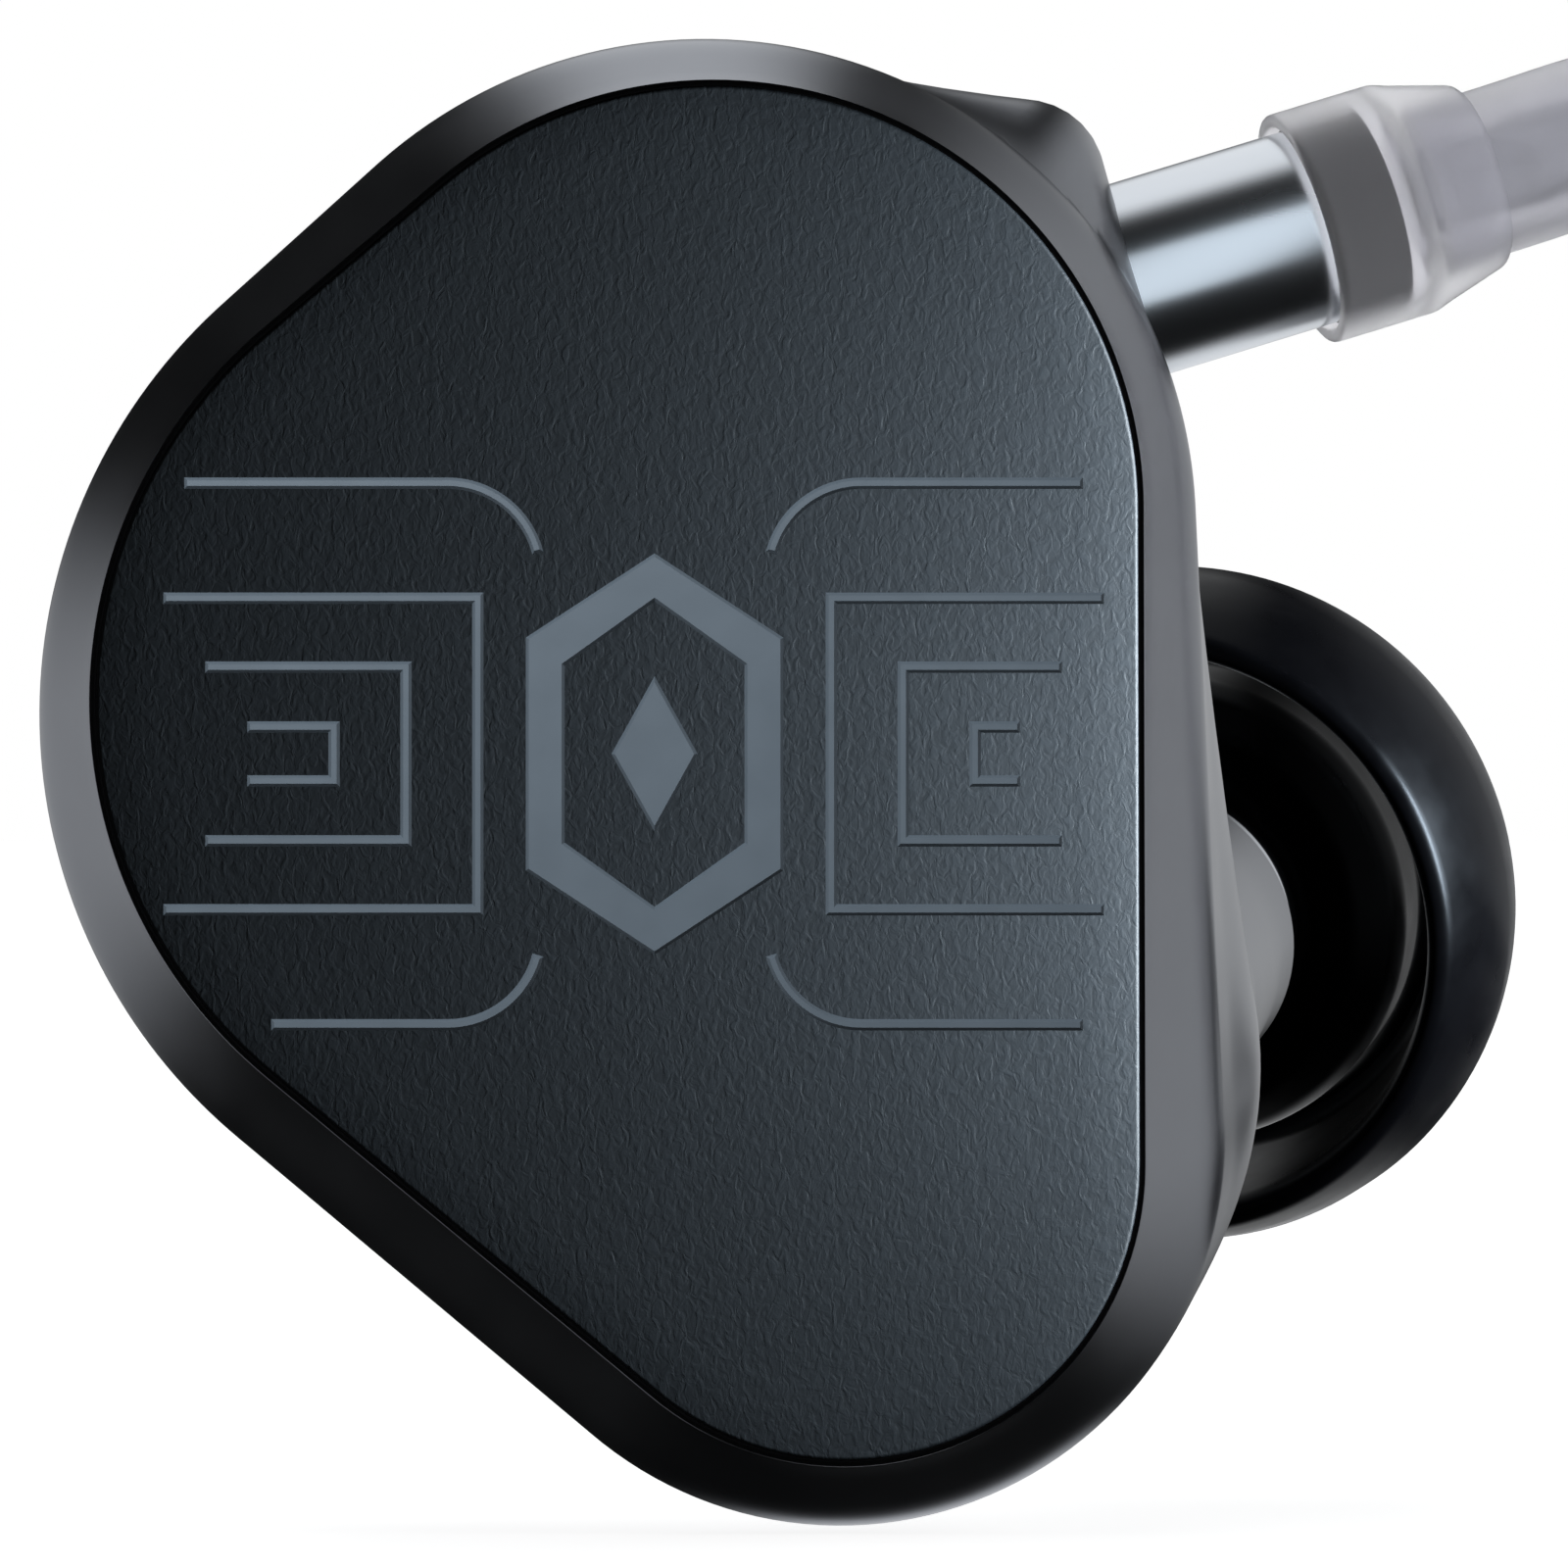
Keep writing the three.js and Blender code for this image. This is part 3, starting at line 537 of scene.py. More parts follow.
def ranged(nodes, links, source, low, high, start=0.3, end=0.7):
    span = nodes.new("ShaderNodeMapRange")
    span.inputs["From Min"].default_value = start
    span.inputs["From Max"].default_value = end
    span.inputs["To Min"].default_value = low
    span.inputs["To Max"].default_value = high
    links.new(source, span.inputs["Value"])
    return span.outputs["Result"]


def tinted(nodes, links, source, dark, light):
    ramp = nodes.new("ShaderNodeValToRGB")
    ramp.color_ramp.elements[0].position = 0.3
    ramp.color_ramp.elements[1].position = 0.7
    ramp.color_ramp.elements[0].color = (*dark, 1)
    ramp.color_ramp.elements[1].color = (*light, 1)
    links.new(source, ramp.inputs["Fac"])
    return ramp.outputs["Color"]


def bumped(nodes, links, shader, height, depth_mm):
    bump = nodes.new("ShaderNodeBump")
    bump.inputs["Distance"].default_value = depth_mm * MM
    links.new(height, bump.inputs["Height"])
    links.new(bump.outputs["Normal"], shader.inputs["Normal"])


def finish(name, colour, roughness, metallic=0.0, grain=0.6, mottling=0.08, depth=0.0, fine=0.12,
           stretch=(1, 1, 1), **sockets):
    """A plain finish with the small changes of tone, gloss and surface that a real one has."""
    look, nodes, links, shader = new_look(name)
    shader.inputs["Metallic"].default_value = metallic
    for socket, value in sockets.items():
        shader.inputs[socket.replace("_", " ")].default_value = value
    broad = scaled_noise(nodes, links, grain, 4.0, stretch)
    dark = [c * (1 - mottling) for c in colour]
    light = [min(1.0, c * (1 + mottling)) for c in colour]
    links.new(tinted(nodes, links, broad, dark, light), shader.inputs["Base Color"])
    low, high = roughness * (1 - 1.5 * mottling), min(1.0, roughness * (1 + 1.5 * mottling))
    links.new(ranged(nodes, links, broad, low, high), shader.inputs["Roughness"])
    if depth:
        bumped(nodes, links, shader, scaled_noise(nodes, links, fine, 2.0, stretch), depth)
    return look


def grained_look():
    """The faceplate's finish: near black, with short wandering upright grain like fine leather."""
    look, nodes, links, shader = new_look("faceplate_grain")
    shader.inputs["Roughness"].default_value = 0.5
    shader.inputs["Specular IOR Level"].default_value = 0.3
    folds = scaled_noise(nodes, links, 0.14, 2.0, (1, 1, 0.60), 1.0)
    fine = scaled_noise(nodes, links, 0.08, 1.0, (1, 1, 0.5), 0.2)
    both = nodes.new("ShaderNodeMath")
    both.operation = "MULTIPLY_ADD"
    both.inputs[1].default_value = 0.25
    links.new(fine, both.inputs[0])
    links.new(ranged(nodes, links, folds, 0.0, 1.0, 0.33, 0.67), both.inputs[2])
    links.new(tinted(nodes, links, folds, (0.0036, 0.0050, 0.0064), (0.0052, 0.0070, 0.0088)),
              shader.inputs["Base Color"])
    bumped(nodes, links, shader, both.outputs[0], 0.0045)
    return look


def woven_look(name, colour, pitch_mm, depth_mm, roughness=0.4, metallic=1.0):
    """A fine square weave or perforation, with its pits and holes painted dark as painted shade."""
    look, nodes, links, shader = new_look(name)
    shader.inputs["Metallic"].default_value = metallic
    shader.inputs["Roughness"].default_value = roughness
    coords = nodes.new("ShaderNodeTexCoord")
    mapping = nodes.new("ShaderNodeMapping")
    mapping.inputs["Scale"].default_value = [1 / (pitch_mm * MM)] * 3
    links.new(coords.outputs["Object"], mapping.inputs["Vector"])
    cells = nodes.new("ShaderNodeTexVoronoi")
    cells.inputs["Scale"].default_value = 1.0
    cells.inputs["Randomness"].default_value = 0.0
    links.new(mapping.outputs["Vector"], cells.inputs["Vector"])
    # Painted shade: the pits and holes are painted near black where the bump sinks, in place of the shade
    # that falls in them.
    dark = [c * 0.12 for c in colour]
    links.new(tinted(nodes, links, cells.outputs["Distance"], dark, colour), shader.inputs["Base Color"])
    bumped(nodes, links, shader, cells.outputs["Distance"], depth_mm)
    return look


LOOKS = {
    "gunmetal": finish("gunmetal", (0.30, 0.31, 0.335), 0.29, 1.0, 1.4, 0.03, 0.0003, 0.08),
    "plate": grained_look(),
    "relief": finish("relief", (0.155, 0.182, 0.210), 0.42, 0.0, 0.8, 0.04, 0.0008, 0.08),
    "steel": finish("steel", (0.66, 0.69, 0.73), 0.26, 1.0, 2.5, 0.05, 0.0003, 0.06, (0.3, 1, 1)),
    "dark_steel": finish("dark_steel", (0.20, 0.21, 0.22), 0.35, 1.0, 0.8, 0.08, 0.002),
    "gold": finish("gold", (0.83, 0.60, 0.25), 0.22, 1.0, 0.9, 0.05, 0.0004),
    "copper": finish("copper", (0.66, 0.33, 0.17), 0.30, 1.0, 0.4, 0.08, 0.002),
    "silicone": finish("silicone", (0.0006, 0.0006, 0.0008), 0.30, 0.0, 0.9, 0.10, 0.0003, 0.10,
                       Specular_IOR_Level=0.06, Specular_Tint=(0.82, 0.90, 1.0, 1)),
    "clear": finish("clear", (0.92, 0.92, 0.95), 0.31, 0.0, 0.9, 0.02, 0.001, 0.25,
                    Transmission_Weight=0.90, IOR=1.25),
    "guide": finish("guide", (0.90, 0.90, 0.94), 0.34, 0.0, 1.2, 0.03, 0.001, 0.25,
                    Transmission_Weight=0.80, IOR=1.35),
    "jacket": finish("jacket", (0.60, 0.61, 0.64), 0.28, 0.55, 0.5, 0.12, 0.003, 0.10, Coat_Weight=0.6),
    "black_plastic": finish("black_plastic", (0.012, 0.012, 0.014), 0.42, 0.0, 0.6, 0.10, 0.003, 0.08),
    "marker": finish("marker", (0.012, 0.013, 0.015), 0.28, 0.0, 0.6, 0.08, 0.001),
    "strap": woven_look("strap", (0.035, 0.035, 0.038), 0.28, 0.05, 0.85, 0.0),
    "white_plastic": finish("white_plastic", (0.78, 0.76, 0.68), 0.45, 0.0, 0.6, 0.04, 0.001),
    "board": finish("board", (0.03, 0.15, 0.08), 0.35, 0.0, 0.5, 0.15, 0.004),
    "film": finish("film", (0.50, 0.45, 0.36), 0.35, 0.1, 0.6, 0.08, 0.002),
    "foam": finish("foam", (0.03, 0.03, 0.032), 0.95, 0.0, 0.15, 0.30, 0.03, 0.12),
    "screen": woven_look("screen", (0.42, 0.43, 0.45), 0.16, 0.03),
}
LOOK_OF_SLOT = {
    "shell_metal": "gunmetal", "faceplate_texture": "plate", "bright_steel": "steel",
    "dark_steel": "dark_steel", "gold": "gold", "copper": "copper", "silicone": "silicone",
    "clear_plastic": "clear", "cable_jacket": "jacket", "black_plastic": "black_plastic",
    "marker_black": "marker", "tie_strap": "strap", "white_plastic": "white_plastic",
    "board_green": "board", "film": "film", "foam": "foam",
}


# ---------------------------------------------------------------- lead
STRAND_DEPTH = 0.13              # how deep the valleys between the twisted cores are
TWIST_PITCH = 9.0


def twisted_cable(name, line, sides=24):
    """Four cores laid in a gentle twist, as one tube whose section has four lobes."""
    piece = swept(name, line, 1.0, sides)
    layer = piece.data.uv_layers["along"]
    where = {}
    for loop in piece.data.loops:
        where[loop.vertex_index] = tuple(layer.data[loop.index].uv)
    along = np.concatenate([[0.0], np.cumsum(np.linalg.norm(np.diff(line, axis=0), axis=1))])
    centres = place(line)
    for vertex in piece.data.vertices:
        around, distance = where[vertex.index]
        centre = Vector([np.interp(distance, along, centres[:, i]) for i in range(3)])
        twist = 2 * math.pi * (around * 2 - distance / TWIST_PITCH * 2)
        radius = CABLE_RADIUS - STRAND_DEPTH * (1 - abs(math.cos(twist)))
        vertex.co = centre + (vertex.co - centre) * radius
    return piece


cable = settled(twisted_cable("lead_cord", route), "lead", "cable_jacket", LOOKS["jacket"],
                "cable", "cable_coil", "cable_tail")

guide_length = line_length(smooth_line(LEAD, ROUTE_STEP)) * GUIDE_SHARE
along_route = np.concatenate([[0.0], np.cumsum(np.linalg.norm(np.diff(route, axis=0), axis=1))])
guide_line = route[along_route <= guide_length]
ear_guide = settled(swept("ear_guide_tube", guide_line, GUIDE_RADIUS, 40, GUIDE_BORE), "lead",
                    "clear_plastic", LOOKS["guide"], "ear_guide")


def strap_loop():
    """The hook-and-loop tie: a rounded band round one side of the coil."""
    near = COIL["y"] + COIL["inner"] - TIE["gap"] - 0.3 - TIE["thickness"]
    far = COIL["y"] + COIL["outer"] + TIE["gap"] + TIE["thickness"]
    low, high = 0.02, COIL["top"] + TIE["gap"] + TIE["thickness"]
    corner = 0.9

    def loop_at(inset):
        y0, y1, z0, z1, r = near + inset, far - inset, low + inset, high - inset, corner - inset
        points = []
        corners = ((y1 - r, z1 - r, 0), (y0 + r, z1 - r, 90), (y0 + r, z0 + r, 180), (y1 - r, z0 + r, 270))
        for cy, cz, start in corners:
            for k in range(9):
                a = math.radians(start + k * 90 / 8)
                points.append((cy + r * math.cos(a), cz + r * math.sin(a)))
        return points

    outer, inner = loop_at(0.0), loop_at(TIE["thickness"])
    half, edge = TIE["width"] / 2, 0.08
    profile = [
        (outer, -half + edge, 0.0), (outer, half - edge, 0.0), (outer, half, edge), (inner, half, -edge),
        (inner, half - edge, 0.0), (inner, -half + edge, 0.0), (inner, -half, -edge), (outer, -half, edge),
    ]
    middle = np.array([(near + far) / 2, (low + high) / 2])
    vertices, faces, count = [], [], len(outer)
    for ring, x, pull in profile:
        for p in ring:
            p = np.array(p)
            inward = unit(middle - p)
            y, z = p + inward * pull
            vertices.append((COIL["x"] + x, y, z))
    rows = len(profile)
    for row in range(rows):
        for k in range(count):
            n, following = (k + 1) % count, (row + 1) % rows
            faces.append([row * count + k, row * count + n, following * count + n, following * count + k])
    return mesh_piece("tie_strap_loop", vertices, faces, 40.0)


tie = settled(strap_loop(), "lead", "tie_strap", LOOKS["strap"], "cable_tie")


# ---------------------------------------------------------------- 3.5 mm plug
def jack_turned(name, node, outline, slot, look, soft=0.08, segments=64):
    at = (JACK["x"], JACK["y"], JACK["z"])
    return settled(turned(name, outline, at, (1, 0, 0), segments, soft), "lead", slot, LOOKS[look], node)


def ribbed(outline_start, outline_end, radius_start, radius_end, ribs, depth):
    """Shallow rings along a sleeve, as [radius, height] points."""
    points = []
    for i in range(ribs):
        t = (i + 0.5) / ribs
        height = outline_start + (outline_end - outline_start) * t
        radius = radius_start + (radius_end - radius_start) * t
        width = (outline_end - outline_start) / ribs * 0.28
        points += [(radius, height - width), (radius - depth, height - width * 0.5),
                   (radius - depth, height + width * 0.5), (radius, height + width)]
    return points


pin = JACK["pin"]
grip = JACK["grip"]
strain_bore = CABLE_RADIUS + 0.15
jack_pieces = [
    jack_turned("jack_boot", "jack_strain_relief",
                [(strain_bore, 0), (1.35, 0), *ribbed(0.6, 6.4, 1.43, 2.25, 6, 0.22), (2.3, 6.9),
                 (strain_bore, 6.9)],
                "black_plastic", "black_plastic", 0.12),
    jack_turned("jack_barrel", "jack_grip",
                [(1.0, 7.0), (2.9, 7.0), (grip, 7.4), (grip, 9.2), *ribbed(9.6, 13.2, grip, grip, 9, 0.10),
                 (grip, 21.0), (2.9, 21.8), (1.0, 21.8)], "bright_steel", "steel", 0.10),
    jack_turned("jack_sleeve", "jack_sleeve_contact",
                [(1.05, 21.9), (2.6, 21.9), (2.6, 22.5), (pin, 22.5), (pin, 28.3), (1.05, 28.3)],
                "gold", "gold"),
    jack_turned("jack_band_1", "jack_insulator_1",
                [(1.05, 28.35), (pin - 0.05, 28.35), (pin - 0.05, 28.85), (1.05, 28.85)],
                "black_plastic", "black_plastic", 0.03),
    jack_turned("jack_ring", "jack_ring_contact",
                [(0.75, 28.9), (pin, 28.9), (pin, 31.1), (0.75, 31.1)], "gold", "gold", 0.05),
    jack_turned("jack_band_2", "jack_insulator_2",
                [(0.75, 31.15), (pin - 0.05, 31.15), (pin - 0.05, 31.65), (0.75, 31.65)],
                "black_plastic", "black_plastic", 0.03),
    jack_turned("jack_tip", "jack_tip_contact",
                [(0, 24.0), (0.6, 24.0), (0.6, 31.7), (pin, 31.7), (pin, 32.3), (1.25, 33.3), (1.55, 34.3),
                 (1.0, 35.6), (0, 35.9)], "gold", "gold", 0.30),
]


# ---------------------------------------------------------------- shell
def rod(radius, start, end):
    return [(0, start), (radius, start), (radius, end), (0, end)]


LIP_ROUND = 0.05
BACK_FROM, BACK_SHARE = 8, 0.6                # beyond this depth the wall takes part of its thickness along Y
EDGE_BEFORE, EDGE_AFTER = 0.60, 1.40          # places between which the bevel's outer edge is rounded


def shell_body():
    inner = []
    for station_place in (5.1, 4.75, 4.4, 4.05, 3.7, 3.35, 3.0, 2.5, 2.0):
        ring = shell_ring(station_place, WALL, True)
        if ring[0, 1] > BACK_FROM:
            ring[:, 1] -= WALL * BACK_SHARE
        inner.append(ring)
    opening = shell_ring(1.25, WALL + LEDGE, True)
    opening[:, 1] = POCKET_DEPTH
    pocket = shell_ring(0, -0.02)
    floor_corner, lip_low, lip = pocket.copy(), pocket.copy(), pocket.copy()
    floor_corner[:, 1] = POCKET_DEPTH
    lip_low[:, 1] = LIP_ROUND
    lip[:, 1] = 0.0
    bevel_start = shell_ring(LIP_ROUND)
    rings = inner + [opening, floor_corner] + rounded_rings(lip_low, lip, bevel_start, 4)
    rings += [shell_ring(p) for p in (0.25, 0.45)]
    rings += rounded_rings(shell_ring(EDGE_BEFORE), shell_ring(1.0), shell_ring(EDGE_AFTER), 14)
    rings += [shell_ring(p) for p in np.arange(1.5, 6.001, 0.125)]
    return lofted("right_shell", rings, 28.0)


def evened_normals(piece):
    """Lets the large faces lead the smooth shading, so cuts leave no dents in the light."""
    modifier = piece.modifiers.new("even", "WEIGHTED_NORMAL")
    modifier.keep_sharp = True
    modifier.weight = 80
    applied(piece)


neck_outline = [
    (0, -7.0), (3.0, -7.0), (3.1, -5.0), (3.0, -4.0), (2.9, -3.0), (2.8, -2.0), (NECK_RADIUS, -1.0),
    (NECK_RADIUS, -0.14), (NECK_RADIUS - 0.14, 0), (0, 0),
]
shell = shell_body()
carved(shell, turned("neck", neck_outline, NOZZLE_AT, NOZZLE_DIRECTION), "UNION")
cutters = [
    ("nozzle_bore", rod(NOZZLE_RADIUS - 0.2, -7.6, 1), NOZZLE_AT, NOZZLE_DIRECTION, 72),
    ("socket_bore", rod(SOCKET_RADIUS + 0.15, -SOCKET_DEPTH - 1.6, 0.5), PLUG_AT, PLUG_DIRECTION, 72),
    ("spot_face", rod(BARREL_RADIUS + 0.08, -SOCKET_FACE - 0.1, 3), PLUG_AT, PLUG_DIRECTION, 96),
    ("vent_hole", rod(0.45, -2.5, 3), VENT_AT, VENT_DIRECTION, 32),
    ("vent_seat", rod(0.85, 1.15, 4), VENT_AT, VENT_DIRECTION, 48),
]
for cutter in cutters:
    carved(shell, turned(*cutter), "DIFFERENCE")
tidy_faces(shell, 28.0)
evened_normals(shell)
settled(shell, "earpiece", "shell_metal", LOOKS["gunmetal"], "main_shell")


# ---------------------------------------------------------------- faceplate and its raised lines
PLATE_EDGE = 0.07
RELIEF_BEVEL = 0.05


def faceplate_body():
    def at(inset, y):
        ring = shell_ring(0, PLATE_GAP + inset)
        ring[:, 1] = y
        return ring

    rings = [at(3.0, PLATE_FRONT), at(1.0, PLATE_FRONT)]
    corner = at(0, PLATE_FRONT)
    rings += rounded_rings(at(PLATE_EDGE, PLATE_FRONT), corner, at(0, PLATE_FRONT + PLATE_EDGE), 5)
    rings += [at(0, PLATE_BACK), at(1.0, PLATE_BACK)]
    return lofted("grained_plate", rings, 60.0)


def raised(name, loops, faces_of_cap):
    """A raised shape from pairs of closed [x, z] loops: the foot of each wall, and the top's edge."""
    top = PLATE_FRONT - RELIEF
    vertices, faces, tops = [], [], []
    for foot, edge in loops:
        count = len(foot)
        start = len(vertices)
        vertices += [(x, PLATE_FRONT + 0.03, z) for x, z in foot]
        vertices += [(x, PLATE_FRONT - RELIEF * 0.35, z) for x, z in foot]
        vertices += [(x, top, z) for x, z in edge]
        for row in (0, 1):
            for k in range(count):
                n = (k + 1) % count
                a = start + row * count
                faces.append([a + k, a + n, a + count + n, a + count + k])
        tops.append(start + 2 * count)
    faces += faces_of_cap(tops)
    return mesh_piece(name, vertices, faces, 75.0)


def offset_loop(points, distance):
    """A closed loop moved to its left by distance, mitred at its corners."""
    points = np.asarray(points, float)
    result = []
    for i, point in enumerate(points):
        before, after = unit(point - points[i - 1]), unit(points[(i + 1) % len(points)] - point)
        normal = unit(np.array([-before[1] - after[1], before[0] + after[0]]))
        result.append(point + normal * distance / max(0.4, normal @ np.array([-before[1], before[0]])))
    return result


def stroke(name, points):
    """A thin raised line through [x, z] points."""
    at = np.asarray(points, float)
    loops = []
    for width, shorten in ((LINE_WIDTH / 2, 0.0), (LINE_WIDTH / 2 - RELIEF_BEVEL, RELIEF_BEVEL)):
        line = at.copy()
        line[0] += unit(at[1] - at[0]) * shorten
        line[-1] += unit(at[-2] - at[-1]) * shorten
        left, right = [], []
        for i, point in enumerate(line):
            before = unit(point - line[i - 1]) if i else unit(line[1] - point)
            after = unit(line[i + 1] - point) if i + 1 < len(line) else before
            normal = unit(np.array([-before[1] - after[1], before[0] + after[0]]))
            mitre = width / max(0.5, normal @ np.array([-before[1], before[0]]))
            left.append(point + normal * mitre)
            right.append(point - normal * mitre)
        loops.append(left + right[::-1])
    count = len(at)

    def cap(tops):
        near, far = tops[0], tops[0] + 2 * count - 1
        return [[near + i, near + i + 1, far - 1 - i, far - i] for i in range(count - 1)]

    return raised(name, [tuple(loops)], cap)


def side_lines(side, far, low):
    """One side's nested brackets and its two outer lines, with side 1 to the right and -1 to the left."""
    def at(x, z):
        return (MOTIF[0] + side * x, MOTIF[1] + z)

    def bracket(near, outer, half):
        return [at(outer, half), at(near, half), at(near, -half), at(outer, -half)]

    def sweep(up, start):
        reach, height, radius, steps = 1.9, 4.52, 1.55, 16
        turn = []
        for i in range(steps + 1):
            angle = i / steps * math.pi * 0.42
            x = reach + radius - radius * math.sin(angle)
            turn.append(at(x, up * (height - radius + radius * math.cos(angle))))
        return [at(start, up * height), *turn]

    return [bracket(2.95, far, 2.6), bracket(4.15, far - 0.7, 1.45), bracket(5.35, far - 1.4, 0.45),
            sweep(1, far - 0.35), sweep(-1, low)]


def hexagon(half_width, half_height):
    shoulder = half_height * 0.58
    corners = [(half_width, shoulder), (0, half_height), (-half_width, shoulder),
               (-half_width, -shoulder), (0, -half_height), (half_width, -shoulder)]
    return [(MOTIF[0] + x, MOTIF[1] + z) for x, z in corners]


def badge_frame():
    outer, inner = hexagon(2.15, 3.35), hexagon(1.5, 2.55)

    def cap(tops):
        return [[tops[0] + k, tops[0] + (k + 1) % 6, tops[1] + (k + 1) % 6, tops[1] + k] for k in range(6)]

    return raised("badge_frame", [(outer, offset_loop(outer, RELIEF_BEVEL)),
                                  (inner, offset_loop(inner, -RELIEF_BEVEL))], cap)


def badge_lozenge():
    corners = [(MOTIF[0] + x, MOTIF[1] + z) for x, z in ((0.72, 0), (0, 1.3), (-0.72, 0), (0, -1.3))]
    return raised("badge_lozenge", [(corners, offset_loop(corners, RELIEF_BEVEL))],
                  lambda tops: [[tops[0], tops[0] + 1, tops[0] + 2, tops[0] + 3]])


relief_parts = [stroke("line", line) for line in side_lines(-1, 8.2, 6.4) + side_lines(1, 7.5, 7.15)]
relief = merged("plate_relief", [*relief_parts, badge_frame(), badge_lozenge()], 20.0)
plate = settled(faceplate_body(), "earpiece", "faceplate_texture", LOOKS["plate"], "faceplate")
plate.visible_diffuse = False              # keeps its grazing glare off the raised lines' walls
plate.visible_glossy = False
settled(relief, "earpiece", "faceplate_texture", LOOKS["relief"], "faceplate")


# ---------------------------------------------------------------- nozzle and ear tip
def nozzle_turned(name, node, outline, body, slot, look, segments=96, soft=0.05):
    piece = turned(name, outline, NOZZLE_AT, NOZZLE_DIRECTION, segments, soft)
    return settled(piece, body, slot, LOOKS[look], node)


stub = NOZZLE_RADIUS - 0.32
nozzle_turned("sound_nozzle", "nozzle", [
    (NOZZLE_BORE, -3.2), (stub, -3.2), (stub, 0.12), (NECK_RADIUS - 0.3, 0.12), (NECK_RADIUS - 0.3, 0.42),
    (NOZZLE_RADIUS - 0.12, 0.42), (NOZZLE_RADIUS - 0.12, NOZZLE_LENGTH - 0.95),
    (NOZZLE_RADIUS + 0.1, NOZZLE_LENGTH - 0.8), (NOZZLE_RADIUS + 0.1, NOZZLE_LENGTH - 0.2),
    (NOZZLE_RADIUS - 0.1, NOZZLE_LENGTH), (NOZZLE_BORE + 0.3, NOZZLE_LENGTH),
    (NOZZLE_BORE + 0.3, NOZZLE_LENGTH - 0.4), (NOZZLE_BORE, NOZZLE_LENGTH - 0.4),
], "earpiece", "bright_steel", "steel")
nozzle_turned("wax_guard", "nozzle_screen",
              rod(NOZZLE_BORE + 0.2, NOZZLE_LENGTH - 0.32, NOZZLE_LENGTH - 0.12),
              "earpiece", "dark_steel", "screen", 64, 0.02)

tip_bore = NOZZLE_RADIUS + 0.28
dome = arc((EAR_TIP_RADIUS, 2.3), (2.2, EAR_TIP_LENGTH), 30)
silicone_tip = nozzle_turned("silicone_tip", "ear_tip", [
    (tip_bore, 0.62), (2.9, 0.62), (3.5, 0.95), (4.05, 1.5), (4.2, 1.9), (4.15, 3.1), (4.4, 3.4), (4.65, 3.1),
    (4.85, 1.8), (4.95, 0.4), (5.05, 0.05), (5.2, 0.0), (5.42, 0.12), (5.7, 0.8), (5.88, 1.5), *dome,
    (1.85, EAR_TIP_LENGTH - 0.1), (1.75, EAR_TIP_LENGTH - 0.4), (1.75, NOZZLE_LENGTH + 0.35),
    (tip_bore, NOZZLE_LENGTH + 0.35),
], "tip", "silicone", "silicone", 160, 0.16)
silicone_tip.visible_glossy = False        # the shell mirrors the strips, and not the black tip
settled(turned("vent_mesh", rod(0.75, 1.2, 1.4), VENT_AT, VENT_DIRECTION, 48, 0.02), "earpiece", "dark_steel",
        LOOKS["screen"], "vent_screen")


# ---------------------------------------------------------------- plug and socket
def plug_turned(name, node, outline, body, slot, look, segments=96, soft=0.04):
    piece = turned(name, outline, PLUG_AT, PLUG_DIRECTION, segments, soft)
    return settled(piece, body, slot, LOOKS[look], node)


barrel = plug_turned("polished_barrel", "plug_barrel", [
    (1.2, -SOCKET_FACE), (BARREL_RADIUS - 0.08, -SOCKET_FACE), (BARREL_RADIUS, -SOCKET_FACE + 0.08),
    (BARREL_RADIUS, BARREL_LENGTH), (1.2, BARREL_LENGTH),
], "swivel", "bright_steel", "steel", 128)
plug_turned("marker_band", "side_marker_ring", [
    (1.2, BARREL_LENGTH + 0.06), (BARREL_RADIUS + 0.05, BARREL_LENGTH + 0.06),
    (BARREL_RADIUS + 0.05, BARREL_LENGTH + 1.22), (1.2, BARREL_LENGTH + 1.22),
], "swivel", "marker_black", "marker")
plug_turned("frosted_sleeve", "strain_relief_sleeve", [
    (BARREL_RADIUS + 0.1, BARREL_LENGTH - 0.15), (SLEEVE_RADIUS, BARREL_LENGTH - 0.15),
    (SLEEVE_RADIUS, BARREL_LENGTH + 1.70), (SLEEVE_RADIUS - 0.1, BARREL_LENGTH + 2.0),
    (1.62, BARREL_LENGTH + 3.05), (1.5, BARREL_LENGTH + 3.15), (GUIDE_RADIUS + 0.02, BARREL_LENGTH + 3.15),
    (GUIDE_RADIUS + 0.02, BARREL_LENGTH + 1.85), (BARREL_RADIUS + 0.1, BARREL_LENGTH + 1.45),
], "swivel", "clear_plastic", "clear", 128, 0.10)
plug_turned("snap_contact", "plug_snap_contact", [
    (0.78, -2.3), (1.08, -2.3), (1.14, -2.0), (1.05, -1.7), (1.05, BARREL_LENGTH + 0.6),
    (0.78, BARREL_LENGTH + 0.6),
], "lead", "gold", "gold", 64)
plug_turned("plug_core", "plug_insulator", [
    (0.36, 0.3), (0.68, 0.3), (0.68, BARREL_LENGTH + 0.5), (0.36, BARREL_LENGTH + 0.5),
], "lead", "white_plastic", "white_plastic", 48)
plug_turned("centre_pin", "plug_center_pin", [
    (0, -1.35), (0.2, -1.35), (0.28, -1.1), (0.28, BARREL_LENGTH + 0.9), (0, BARREL_LENGTH + 0.9),
], "lead", "gold", "gold", 40)
plug_turned("socket_sleeve", "socket_body", [
    (1.25, -SOCKET_DEPTH), (SOCKET_RADIUS, -SOCKET_DEPTH), (SOCKET_RADIUS, -SOCKET_FACE - 0.2),
    (1.25, -SOCKET_FACE - 0.2),
], "earpiece", "gold", "gold", 72)

